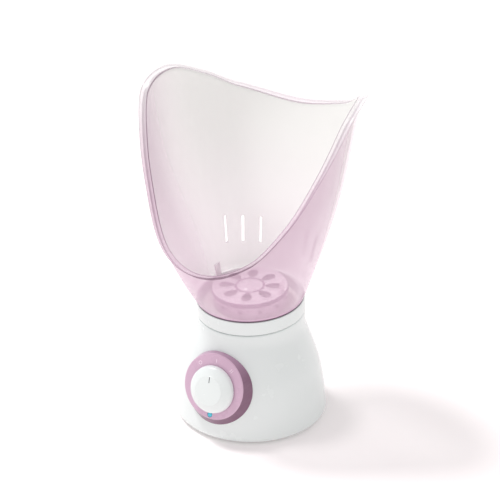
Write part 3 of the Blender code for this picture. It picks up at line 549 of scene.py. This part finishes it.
joints = {joint["name"]: joint for joint in frame["record"]["behaviour"]["joints"]}
neckAxis = unit(joints["mask_lift"]["axis"])
neckTilt = atan2(-neckAxis.y, neckAxis.z)
neckPlace = placeFrom((0, -neck["collarHeight"] * mm * sin(neckTilt), neck["z"] * mm), neckAxis)
neckCentre = neckPlace.translation
dialPlace = placeFrom(joints["knob_turn"]["pos_m"], joints["knob_turn"]["axis"])
ledPlace = dialPlace @ Matrix.Translation((0, -dial["ledDrop"] * mm, 0))
print("frame places ready")


# ---- base housing ----
housing = {
    # height, then radius
    "outline": [(6.5, 63.4), (14.1, 62.4), (29.9, 60.4), (48, 56.6), (66, 50.4), (80.1, 45.3), (88, 44.4)],
    "edgeZ": 1.5, "wall": 2.2, "glandZ": 15, "glandHole": 5.5, "rows": 26, "columns": 180,
}


def baseRadius(z):
    return smoothThrough(housing["outline"], z / mm) * mm


def makeHousing():
    low, wall = housing["edgeZ"], housing["wall"]
    widestZ, widest = housing["outline"][0]
    waistZ = housing["outline"][-1][0]
    level = neckCentre - neckAxis * ((neck["collarHeight"] + 0.3) * mm)
    waist, rows, corner = baseRadius(waistZ * mm), housing["rows"], widestZ - low

    def sectionAt(angle):
        x, y = sin(angle), -cos(angle)
        top = (level.z - (waist * y - level.y) * neckAxis.y / neckAxis.z) / mm   # the edge tips with the neck
        edge = baseRadius(top * mm) / mm
        line = [(edge - 1.3, top), (edge - 0.7, top - 0.1), (edge - 0.3, top - 0.4), (edge - 0.08, top - 0.9)]
        line += [(baseRadius(z * mm) / mm, z) for z in
                 (top - 2 + (widestZ - top + 2) * k / rows for k in range(rows + 1))]
        line += [(widest - corner * (1 - cos(a)), widestZ - corner * sin(a))
                 for a in (radians(10 * k) for k in range(1, 10))]
        line += [(widest - corner - wall, low), (widest - corner - wall, low + 1.5)]
        inner = [(baseRadius(z * mm) / mm - wall, z) for z in
                 (widestZ + 1 + (top - 2 - widestZ) * k / rows for k in range(rows + 1))]
        line += inner + [(inner[-1][0], top - 0.2)]
        return [Vector((r * x, r * y, z)) * mm for r, z in line]

    shell = loftRound("housingShell", housing["columns"], sectionAt, [whitePlastic])
    glandZ = housing["glandZ"] * mm
    glandPlace = placeFrom((0, baseRadius(glandZ), glandZ), (0, 1, 0.0001))
    shell = withBoolean(shell, roundCutter("glandCut", housing["glandHole"], 9, -9, glandPlace, whitePlastic))
    for place, radius in ((dialPlace, dial["shaftHole"]), (ledPlace, dial["ledHole"])):
        shell = withBoolean(shell, roundCutter("dialCut", radius, 8, -8, place, whitePlastic))
    keep(shell, "root", "white_plastic", "base_housing")


makeHousing()
print("housing made")


# ---- collar, tank and steam path, all turned about the neck's axis ----
gasket = {"outer": 43.7, "inner": 41.7, "high": 1.1, "low": 0.3}

tank = {"radius": 37, "depth": 34, "wall": 2, "floorHole": 20.5}

heater = {"radius": 24.5, "step": 19.8, "thickness": 2}

guide = {"radius": 38.8, "thickness": 1.5, "chimney": 9.2, "chimneyWall": 1.6}


def makeNeckPieces():
    low = -neck["collarHeight"]
    bore, ledgeBore = neck["spigot"] + 0.3, tank["radius"] + 0.3
    skirtOuter, skirtInner, skirtLow = neck["skirtOuter"], neck["skirtInner"], low - neck["skirtDepth"]
    collar = turned("collarBand", [
        (neck["radius"], 0), (neck["radius"] + neck["flare"], low + 0.7), (neck["radius"] - 0.5, low),
        (skirtOuter, low), (skirtOuter, skirtLow), (skirtInner, skirtLow), (skirtInner, low),
        (ledgeBore, low), (ledgeBore, -neck["ledge"]), (bore, -neck["ledge"]), (bore, 0)],
        [whitePlastic], neckPlace, 0.5, 180)
    keep(collar, "root", "white_plastic", "collar_ring")
    seal = turned("gasketRing", [
        (gasket["outer"], gasket["high"]), (gasket["outer"], gasket["low"]), (gasket["inner"], gasket["low"]),
        (gasket["inner"], gasket["high"])], [mauveSilicone], neckPlace, 0.3, 180)
    keep(seal, "root", "silicone", "mask_gasket")
    flangeLow = -neck["ledge"] + 0.3
    flangeTop = flangeLow + 1.8
    floor = -tank["depth"]
    radius = tank["radius"]
    bowl = turned("tankBowl", [
        (neck["spigot"], flangeTop), (neck["spigot"], flangeLow), (radius, flangeLow),
        (radius - 0.8, floor + 3), (radius - 4, floor), (32, floor - 4.3), (26, floor - 4.3), (26, floor),
        (tank["floorHole"], floor), (tank["floorHole"], floor + tank["wall"]), (radius - 5, floor + 2),
        (radius - 2.8, floor + 4.5), (radius - tank["wall"], flangeTop)], [whitePlastic], neckPlace, 0.6, 144)
    keep(bowl, "root", "white_plastic", "water_tank")
    sealLow = floor - 2
    step, dishTop = heater["step"], sealLow - 0.3
    dishLow = dishTop - heater["thickness"]
    heated = turned("heatingDish", [
        (0, floor - 1.3), (12, floor - 1.1), (13, floor - 0.7), (step, floor - 0.3), (step, dishTop),
        (heater["radius"], dishTop), (heater["radius"], dishLow), (0, dishLow)],
        [aluminium], neckPlace, 0.3, 120, False)
    keep(heated, "root", "aluminium", "heating_plate")
    guideLow = flangeTop + 0.3
    guideTop = guideLow + guide["thickness"]
    chimney, chimneyOut = guide["chimney"], guide["chimney"] + guide["chimneyWall"]
    disc = turned("guidePlate", [
        (guide["radius"], guideTop), (guide["radius"], guideLow), (chimney, guideLow), (chimney, 2),
        (chimneyOut - 0.6, 2), (chimneyOut, guideTop + 1), (chimneyOut + 1.2, guideTop), (24, guideTop),
        (24.5, guideTop + 0.25), (25.5, guideTop + 0.25), (26, guideTop)],
        [creamPlastic], neckPlace, 0.25, 120)
    keep(disc, "root", "cream_plastic", "steam_guide")


makeNeckPieces()
print("neck pieces made")


# ---- aroma basket and its lid ----
basket = {"radius": 30.5, "rim": 31.2, "top": 7, "floor": -5.1, "wall": 1.5, "holes": 12, "holeRadius": 1.6,
          "holeRing": 30, "holeZ": 1}

lid = {"thickness": 2, "tabWidth": 7, "tabHeight": 14, "tabThickness": 1.6, "petals": 8, "petalRing": 19,
       "petalReach": 6.4, "petalHalf": 4.0, "petalSwell": 0.28}


def makeBasket():
    floor = basket["floor"]
    tubeIn = guide["chimney"] + guide["chimneyWall"] + 0.6
    tubeOut = tubeIn + basket["wall"]
    radius, inside, top = basket["radius"], basket["radius"] - basket["wall"], basket["top"]
    cup = turned("basketCup", [
        (basket["rim"], top), (basket["rim"], top - 1.4), (radius, top - 1.6), (radius, floor + 1),
        (radius - 1, floor), (tubeIn, floor), (tubeIn, top - 3), (tubeOut, top - 3), (tubeOut, floor + 1.5),
        (inside - 1, floor + 1.5), (inside, floor + 2.5), (inside, top)],
        [basketPink, basketEdgePaintedShade], Matrix(), 0.3, 144)
    # the rim and the side holes' walls take the dark edge tint, painted shade
    inkFaces(cup, 1, lambda r, z: r > radius + 0.2)
    sideways = Matrix.Rotation(pi / 2, 4, 'Y')
    hole = roundCutter("holeShape", basket["holeRadius"], 3, -3, sideways, basketEdgePaintedShade, 20)
    cup = roundRing(cup, ringCut, hole, {
        "Count": basket["holes"], "Ring radius": basket["holeRing"] * mm, "Height": basket["holeZ"] * mm,
        "First angle": pi / basket["holes"], "Material": basketEdgePaintedShade})
    keep(settle(cup, neckPlace), "basket", "clear_pink", "aroma_basket")


def petalShape():
    # an egg outline, narrow towards the ring's centre and round outside
    cage = bmesh.new()
    steps = 24
    outline = []
    for k in range(steps):
        a = 2 * pi * k / steps
        swell = 1 + lid["petalSwell"] * cos(a)
        outline.append((lid["petalReach"] * cos(a) * mm, lid["petalHalf"] * swell * sin(a) * mm))
    low = [cage.verts.new((x, y, -5 * mm)) for x, y in outline]
    high = [cage.verts.new((x, y, 5 * mm)) for x, y in outline]
    cage.faces.new(list(reversed(low)))
    cage.faces.new(high)
    for i in range(steps):
        j = (i + 1) % steps
        cage.faces.new((low[i], low[j], high[j], high[i]))
    return finishMesh("petalShape", cage, [basketEdgePaintedShade])


def makeLid():
    low = basket["top"] + 0.3
    top = low + lid["thickness"]
    edge = basket["rim"]
    disc = turned("basketTop", [
        (0, top + 2), (4, top + 1.8), (7, top + 1), (9, top), (10.5, top), (11, top - 0.5), (12, top - 0.5),
        (12.5, top), (26.6, top), (27, top - 0.5), (27.8, top - 0.5), (28.2, top), (edge - 0.7, top),
        (edge, top - 0.7), (edge, low), (0, low)], [basketPink, basketEdgePaintedShade], Matrix(), 0.25, 144, False)
    # the lid's outer edge, its ring groove and the petal walls take the dark edge tint, painted shade
    inkFaces(disc, 1, lambda r, z: r > edge - 0.45 or 10.5 < r < 12.5 and z > low)
    disc = roundRing(disc, ringCut, petalShape(), {
        "Count": lid["petals"], "Ring radius": lid["petalRing"] * mm, "Height": low * mm,
        "First angle": pi / lid["petals"], "Material": basketEdgePaintedShade})
    for side in (-1, 1):
        place = (Matrix.Translation((side * (edge - 2.2) * mm, 0, (top - 0.2) * mm))
                 @ Matrix.Rotation(side * radians(6), 4, 'Y')
                 @ Matrix.Translation((0, 0, (lid["tabHeight"] / 2 - 1) * mm)))
        size = (lid["tabThickness"], lid["tabWidth"], lid["tabHeight"])
        disc = withBoolean(disc, boxMesh("gripTab", size, place, [basketPink], 0.5), 'UNION')
    keep(settle(disc, neckPlace), "lid", "clear_pink", "basket_lid")


makeBasket()
makeLid()
print("aroma basket made")


# ---- face mask ----
mask = {
    # height above the neck, then how much further than the neck's radius the outer wall reaches
    "side": [(0, 0), (26, 9), (56, 19), (96, 29.8), (136, 37.3), (181, 45.5)],
    "front": [(0, 0), (30, 21.3), (60, 36.3), (100, 40.8), (140, 49.8), (181, 61.8)],
    "back": [(0, 0), (22, 1.6), (52, 5.3), (92, 18.3), (132, 34.2), (177, 48.8)],
    "shift": [(0, 0), (56, 0.4), (96, -1.8), (136, -8.4), (181, -20.6)],
    # degrees from the front, then the rim's height above the neck or its lip's width
    "rim": [(-36, 60.5), (0, 47), (36, 60.5), (54, 86.5), (72, 125.5), (90, 160.5), (108, 172.5),
            (126, 163.5), (144, 151), (180, 140.5), (216, 151)],
    "lip": [(-54, 3.9), (0, 3.8), (54, 3.9), (90, 5.2), (108, 5.4), (144, 5.6), (216, 5.6)],
    # the foot stands this high above the neck's plane, over the gasket
    "foot": 1.4, "wall": 2, "lipRise": 1.4, "columns": 192, "rows": 30,
    "slotWidth": 2.3, "slotLow": 27, "slotHigh": 50, "slotPitch": 16, "slotsEachSide": 3,
}


def maskSpot(angle, height):   # outer wall, at a height above the neck
    half = neck["radius"] + smoothThrough(mask["side"], height)
    shift = smoothThrough(mask["shift"], height)
    if cos(angle) > 0:
        reach = neck["radius"] + smoothThrough(mask["front"], height) + shift
    else:
        reach = neck["radius"] + smoothThrough(mask["back"], height) - shift
    return Vector((half * sin(angle), shift - reach * cos(angle), 0))


def neckSpot(angle, radius, height):
    turn = neckPlace.to_3x3()
    return turn @ Vector((radius * sin(angle), -radius * cos(angle), height))


def roundTheRim(table, angle):   # both sides alike
    degrees = angle * 180 / pi % 360
    return smoothThrough(mask[table], min(degrees, 360 - degrees))


def wallSpot(angle, share):   # share runs from 0 at the neck to 1 at the rim
    foot = neckSpot(angle, neck["radius"], mask["foot"]).z
    height = (roundTheRim("rim", angle) - foot) * share
    spot = maskSpot(angle, height)
    spot.z = foot + height
    return spot


def wallNormal(angle, share):
    step = 0.01
    around = wallSpot(angle + step, share) - wallSpot(angle - step, share)
    upwards = wallSpot(angle, min(share + step, 1)) - wallSpot(angle, max(share - step, 0))
    return around.cross(upwards).normalized()


def maskSection(angle):
    wall, lip, rise, rows = mask["wall"], roundTheRim("lip", angle), mask["lipRise"], mask["rows"]
    foot, spigotLow = mask["foot"], -neck["spigotDepth"]
    bore, spigotBore = neck["radius"] - wall, neck["spigot"] - wall
    outer = [neckSpot(angle, radius, height) for radius, height in (
        (neck["spigot"], spigotLow + 0.5), (neck["spigot"], foot), (neck["radius"] - 0.4, foot),
        (neck["radius"], foot + 0.4))]
    outer += [wallSpot(angle, k / rows) for k in range(1, rows)]
    rim, normal = wallSpot(angle, 1), wallNormal(angle, 1)
    flat = unit((normal.x, normal.y, 0))
    lift = Vector((0, 0, 1))
    outer += [rim - lift * 1.2 + flat * 0.05, rim - lift * 0.35 + flat * 0.35, rim + flat * 1.2 + lift * 0.1]
    outer += [rim + flat * lip * t + lift * rise * t for t in (0.45, 0.75, 0.93)]
    tip = rim + flat * lip + lift * rise
    edge = [tip + lift * 0.3, tip + flat * 0.1 + lift * 0.9, tip + lift * (wall - 0.35)]
    top = [rim + flat * (lip * t) + lift * (rise * t + wall) for t in (0.93, 0.7, 0.4, 0.1)]
    corner = [rim - flat * (wall - 0.9) + lift * (wall - 0.05),
              rim - flat * (wall - 0.3) + lift * (wall - 0.35),
              rim - flat * wall + lift * (wall - 1.1)]
    inner = []
    for k in range(rows - 1, 0, -1):
        share = k / rows
        inner.append(wallSpot(angle, share) - wallNormal(angle, share) * wall)
    inner += [neckSpot(angle, radius, height) for radius, height in (
        (bore, foot + 2.2), (bore - 0.6, foot + 1.9), (spigotBore, foot + 1.2), (spigotBore, spigotLow + 0.5),
        (spigotBore + 0.5, spigotLow), (neck["spigot"] - 0.5, spigotLow))]
    # a material for each face of the section: 0 outside, 1 inside, 2 rolled edge in a dark tint that is
    # painted shade, 3 lip
    inks = [0] * (len(outer) - 6) + [2] * 3 + [3] * 2 + [2] * 2 + [3] * (len(top) + 1) + [3, 2, 2, 1]
    inks += [1] * (len(inner) - 1) + [0]
    points = outer + edge + top + corner + inner
    return [neckCentre + p * mm for p in points], inks


def makeMask():
    inks = maskSection(0)[1]
    shell = loftRound("maskShell", mask["columns"], lambda angle: maskSection(angle)[0],
                      [maskOutside, maskInside, maskEdgePaintedShade, maskLip], True, inks, 50)
    middle = (mask["slotLow"] + mask["slotHigh"]) / 2
    length = mask["slotHigh"] - mask["slotLow"]
    cutters = []
    for side in (-1, 1):
        for step in range(1, mask["slotsEachSide"] + 1):
            turn = radians(side * mask["slotPitch"] * step)
            spot = maskSpot(pi + turn, middle)
            spot.z = middle
            place = Matrix.Translation(neckCentre + spot * mm) @ Matrix.Rotation(turn, 4, 'Z')
            # the slot walls take the dark edge tint, painted shade
            cutters.append(pillMesh("slotShape", mask["slotWidth"], 16, length, place, [maskEdgePaintedShade]))
    shell = withBoolean(shell, joined("slotCutters", cutters))
    keep(shell, "mask", "clear_pink", "face_mask")


makeMask()
print("mask made")


# ---- dial ----
def surfaceDepth(x, v):   # how far the housing lies along the dial's axis at a place on its face
    low, high = -26 * mm, 8 * mm
    for _ in range(40):
        middle = (low + high) / 2
        spot = dialPlace @ Vector((x, v, middle))
        if hypot(spot.x, spot.y) < baseRadius(spot.z):
            low = middle
        else:
            high = middle
    return low


def makeBezel():
    face, foot, proud, offset, hole = dial["face"], dial["foot"], dial["proud"], dial["offset"], dial["hole"]

    def sectionAt(angle):
        x, v = cos(angle), sin(angle)

        def ring(radius, shift=0.0):
            return radius * x, radius * v + shift

        line = []
        for t in (0.0, 0.03, 0.5, 0.9, 0.97):
            px, pv = ring(hole + (face - 0.7 - hole) * t, offset * t)
            line.append((px, pv, proud - (0.3 if t == 0 else 0)))
        for k in range(5):
            a = radians(22.5 * k)
            px, pv = ring(face - 0.8 + 0.8 * sin(a), offset)
            line.append((px, pv, proud - 0.8 * (1 - cos(a))))
        footX, footV = ring(foot)
        footDepth = surfaceDepth(footX * mm, footV * mm) / mm + 0.3
        start = line[-1]
        for t in (0.25, 0.5, 0.75, 0.95, 1.0):
            line.append(tuple(s + (e - s) * t for s, e in zip(start, (footX, footV, footDepth))))
        for t in (0.9, 0.6, 0.3, 0.0):
            px, pv = ring(hole + (foot - hole) * t)
            line.append((px, pv, surfaceDepth(px * mm, pv * mm) / mm + 0.3))
        return [dialPlace @ (Vector(p) * mm) for p in line]

    inks = [0] * 9 + [1] * 6 + [0] * 5   # the side, with its painted shade and brushed streaks, is 1
    bezel = loftRound("bezelRing", dial["columns"], sectionAt, [pinkPlastic, shadedPinkSide], True, inks)
    bezel = withBoolean(bezel, roundCutter("ledCut", dial["ledHole"], 6, -8, ledPlace, pinkPlastic))
    keep(bezel, "root", "pink_bezel", "dial_bezel")
    lens = turned("ledWindow", [(0, 3.6), (1.2, 3.52), (1.75, 3.2), (1.95, 2.7), (1.95, -4), (0, -4)],
                  [tealLens], ledPlace, 0.2, 40, False)
    keep(lens, "root", "teal_lens", "led_lens")


marks = {"ring": 23.3, "height": 3.2, "stroke": 0.5, "bar": 0.55, "spread": 0.75, "turn": 38}


def dialMarks():   # plain O, I and II raised a little from the bezel's face
    half, high = marks["height"] / 2, (dial["proud"] + 0.05) * mm

    def spot(degrees, side=0.0):
        turn = Matrix.Rotation(radians(degrees), 4, 'Z')
        return dialPlace @ turn @ Matrix.Translation((side * mm, marks["ring"] * mm, high))

    outline = [(half, 0.06), (half, -0.06), (half - marks["stroke"], -0.06), (half - marks["stroke"], 0.06)]
    pieces = [turned("markRing", outline, [markPaint], spot(marks["turn"]), 0.02, 40)]
    for degrees, sides in ((0, (0,)), (-marks["turn"], (-marks["spread"], marks["spread"]))):
        for side in sides:
            size = (marks["bar"], marks["height"], 0.12)
            pieces.append(boxMesh("markBar", size, spot(degrees, side), [markPaint], 0.04))
    keep(joined("dialMarks", pieces), "root", "pink_bezel")


knob = {"radius": 19.5, "disc": 12.2, "height": 7.5, "pointerIn": 6.6, "pointerOut": 11.4, "pointer": 0.7,
        "columns": 128}


def makeKnob():
    low = dial["proud"] + 0.6
    top = low + knob["height"]
    radius, disc = knob["radius"], knob["disc"]
    body = turned("knobBody", [
        (0, top), (disc - 0.3, top), (disc, top - 0.35), (disc + 0.4, top - 0.5), (radius - 2.2, top - 2.9),
        (radius - 0.8, top - 4.2), (radius, low), (radius - 1.6, low), (radius - 2.4, top - 5.2),
        (6.5, top - 3.6), (6.5, low + 0.3), (3.3, low + 0.3), (3.3, top - 1.7), (0, top - 1.7)],
        [whitePlastic], dialPlace, 0.9, knob["columns"], False)
    size = (knob["pointer"], knob["pointerOut"] - knob["pointerIn"], 1.6)
    middle = (knob["pointerOut"] + knob["pointerIn"]) / 2
    groovePlace = dialPlace @ Matrix.Translation((0, middle * mm, (top + 0.5) * mm))
    body = withBoolean(body, boxMesh("pointerCut", size, groovePlace, [pointerPaint], 0.1))
    keep(body, "knob", "white_plastic", "dial_knob")


makeBezel()
dialMarks()
makeKnob()
print("dial made")


# ---- underside and back ----
plate = {"radius": 56.2, "thickness": 2.4, "screwRing": 51, "sinkRadius": 3.5, "vents": 12, "ventRing": 23.5,
         "ventWidth": 2.0, "ventLength": 14, "footRing": 44, "footRadius": 6, "corners": 4}


def makePlate(low):
    high, radius = low + plate["thickness"], plate["radius"]
    disc = turned("plateDisc", [
        (0, high), (radius, high), (radius, low), (36, low), (35.6, low + 0.5), (34.4, low + 0.5), (34, low),
        (13, low), (12.6, low + 0.5), (11.4, low + 0.5), (11, low), (0, low)], [creamPlastic], Matrix(),
        0.3, 144, False)
    across = Matrix.Rotation(pi / 2, 4, 'Y') @ Matrix.Rotation(pi / 2, 4, 'Z')
    vent = pillMesh("ventShape", plate["ventWidth"], 12, plate["ventLength"], across, [creamPlastic])
    disc = roundRing(disc, ringCut, vent, {
        "Count": plate["vents"], "Ring radius": plate["ventRing"] * mm, "Height": low * mm,
        "First angle": 0.0, "Material": creamPlastic})
    sink = roundCutter("sinkShape", plate["sinkRadius"], 1, -1.2, Matrix(), creamPlastic, 32)
    disc = roundRing(disc, ringCut, sink, {
        "Count": plate["corners"], "Ring radius": plate["screwRing"] * mm, "Height": low * mm,
        "First angle": pi / 4, "Material": creamPlastic})
    keep(disc, "root", "cream_plastic", "base_plate")


def makeFeet(low):
    radius = plate["footRadius"]
    foot = turned("footShape", [
        (0, low - 0.3), (radius, low - 0.3), (radius, 0.35), (radius - 0.5, 0), (4.2, 0), (4, 0.3),
        (3.2, 0.3), (3, 0), (0, 0)], [greyRubber], Matrix(), 0.25, 48, False)
    feet = roundRing(emptyMesh("rubberFeet"), ringOf, foot, {
        "Count": plate["corners"], "Ring radius": plate["footRing"] * mm, "Height": 0.0,
        "First angle": 0.0, "Material": greyRubber})
    keep(feet, "root", "grey_rubber", "foot_1", "foot_2", "foot_3", "foot_4")


def makeScrews(low):
    screw = turned("screwShape", [
        (0, 10), (1.2, 10), (1.5, 8.5), (1.5, 0), (3.2, 0), (3.0, -0.6), (2.2, -1.0), (0, -1.05)], [steel],
        Matrix(), 0.2, 32, False)
    for turn in (0, pi / 2):
        place = Matrix.Translation((0, 0, -1.1 * mm)) @ Matrix.Rotation(turn, 4, 'Z')
        screw = withBoolean(screw, boxMesh("crossBar", (3.6, 0.7, 1.6), place, [steel], 0.12))
    screws = roundRing(emptyMesh("plateScrews"), ringOf, screw, {
        "Count": plate["corners"], "Ring radius": plate["screwRing"] * mm, "Height": (low + 1) * mm,
        "First angle": pi / 4, "Material": steel})
    keep(screws, "root", "steel", "base_screw_1", "base_screw_2", "base_screw_3", "base_screw_4")


def makeGland():
    z, seat = housing["glandZ"], housing["outline"][0][1] + 0.3
    wall = seat - 0.3 - baseRadius(z * mm) / mm + housing["wall"] + 0.6
    gland = turned("glandBush", [
        (7.3, 2.2), (8, 1.5), (8, 0.3), (5.2, 0.3), (5.2, -wall - 1.2), (7, -wall - 1.2), (7, -wall - 3),
        (3.3, -wall - 3), (3.3, 1.2), (3.9, 2.2), (4.6, 2.2), (4.9, 1.8), (5.6, 1.8), (5.9, 2.2)],
        [greyRubber], placeFrom((0, seat * mm, z * mm), (0, 1, 0)), 0.35, 72)
    keep(gland, "root", "grey_rubber", "cord_gland")


plateLow = housing["edgeZ"] + 0.3
makePlate(plateLow)
makeFeet(plateLow)
makeScrews(plateLow)
makeGland()
print("underside made")


# ---- carried-over pieces inside the base ----
finishes = {
    "steel": steel, "aluminium": aluminium, "silicone": mauveSilicone, "circuit_board": boardGreen,
    "black_plastic": blackPhenolic, "teal_lens": tealLens, "cream_plastic": creamPlastic,
    "wire_brown": wireBrown, "wire_blue": wireBlue, "white_plastic": whitePlastic, "pink_bezel": pinkPlastic,
    "clear_pink": basketPink, "grey_rubber": greyRubber,
}
slots = {part["node"]: part["material_slot"] for part in frame["record"]["subparts"]}
for node, thing in frame["nodes"].items():
    thing.data.materials.clear()
    thing.data.materials.append(finishes[slots[node]])
print("inner pieces finished")


# ---- floor, light and camera ----
studio = {"floorSize": 40.0, "floorGlow": 0.12, "world": 0.68, "sun": 1.6, "sunWidth": 12, "fill": 1.0}


def makeStage():
    glow = studio["floorGlow"]
    shade = Shade("studioFloor", Roughness=0.8, Emission_Color=(1, 1, 1), Emission_Strength=glow)
    shade.set("Base Color", shade.mix(shade.noise(3), (0.96, 0.90, 0.905), (0.965, 0.91, 0.915)))
    cage = bmesh.new()
    bmesh.ops.create_grid(cage, x_segments=4, y_segments=4, size=studio["floorSize"] / 2)
    floor = finishMesh("studioFloor", cage, [shade.material])
    world = bpy.data.worlds.new("studioWorld")
    world.use_nodes = True
    sky = world.node_tree.nodes["Background"]
    sky.inputs["Color"].default_value = (1, 1, 1, 1)
    sky.inputs["Strength"].default_value = studio["world"]
    bpy.context.scene.world = world
    bpy.context.scene.view_settings.view_transform = 'Standard'


def softSun(name, strength, width, towards):
    lamp = bpy.data.lights.new(name, 'SUN')
    lamp.energy = strength
    lamp.angle = radians(width)
    thing = bpy.data.objects.new(name, lamp)
    thing.location = Vector(towards) * 2
    thing.rotation_euler = Vector(towards).to_track_quat('Z', 'Y').to_euler()
    bpy.context.scene.collection.objects.link(thing)


def areaLight(name, energy, size, spot, aim):
    lamp = bpy.data.lights.new(name, 'AREA')
    lamp.energy = energy
    lamp.size = size
    thing = bpy.data.objects.new(name, lamp)
    thing.location = spot
    thing.rotation_euler = (Vector(aim) - Vector(spot)).to_track_quat('-Z', 'Y').to_euler()
    bpy.context.scene.collection.objects.link(thing)


view = {"azimuth": 30, "elevation": 24, "distance": 1000, "aimHeight": 143.6, "aimSide": -0.8, "lens": 90}


def makeCamera():
    a, e = radians(view["azimuth"]), radians(view["elevation"])
    side = Vector((cos(a), sin(a), 0))
    away = Vector((sin(a) * cos(e), -cos(a) * cos(e), sin(e)))
    aim = Vector((0, 0, view["aimHeight"] * mm)) + side * view["aimSide"] * mm
    data = bpy.data.cameras.new("camera")
    data.lens = view["lens"]
    data.sensor_width = 36
    thing = bpy.data.objects.new("camera", data)
    thing.location = aim + away * view["distance"] * mm
    thing.rotation_euler = (-away).to_track_quat('-Z', 'Y').to_euler()
    bpy.context.scene.collection.objects.link(thing)
    bpy.context.scene.camera = thing


makeStage()
softSun("keyLight", studio["sun"], studio["sunWidth"], (-0.42, -0.05, 0.9))
areaLight("fillLight", studio["fill"], 1.5, (-0.6, -1.6, 0.7), (0, 0, 0.12))
makeCamera()
print("stage ready")
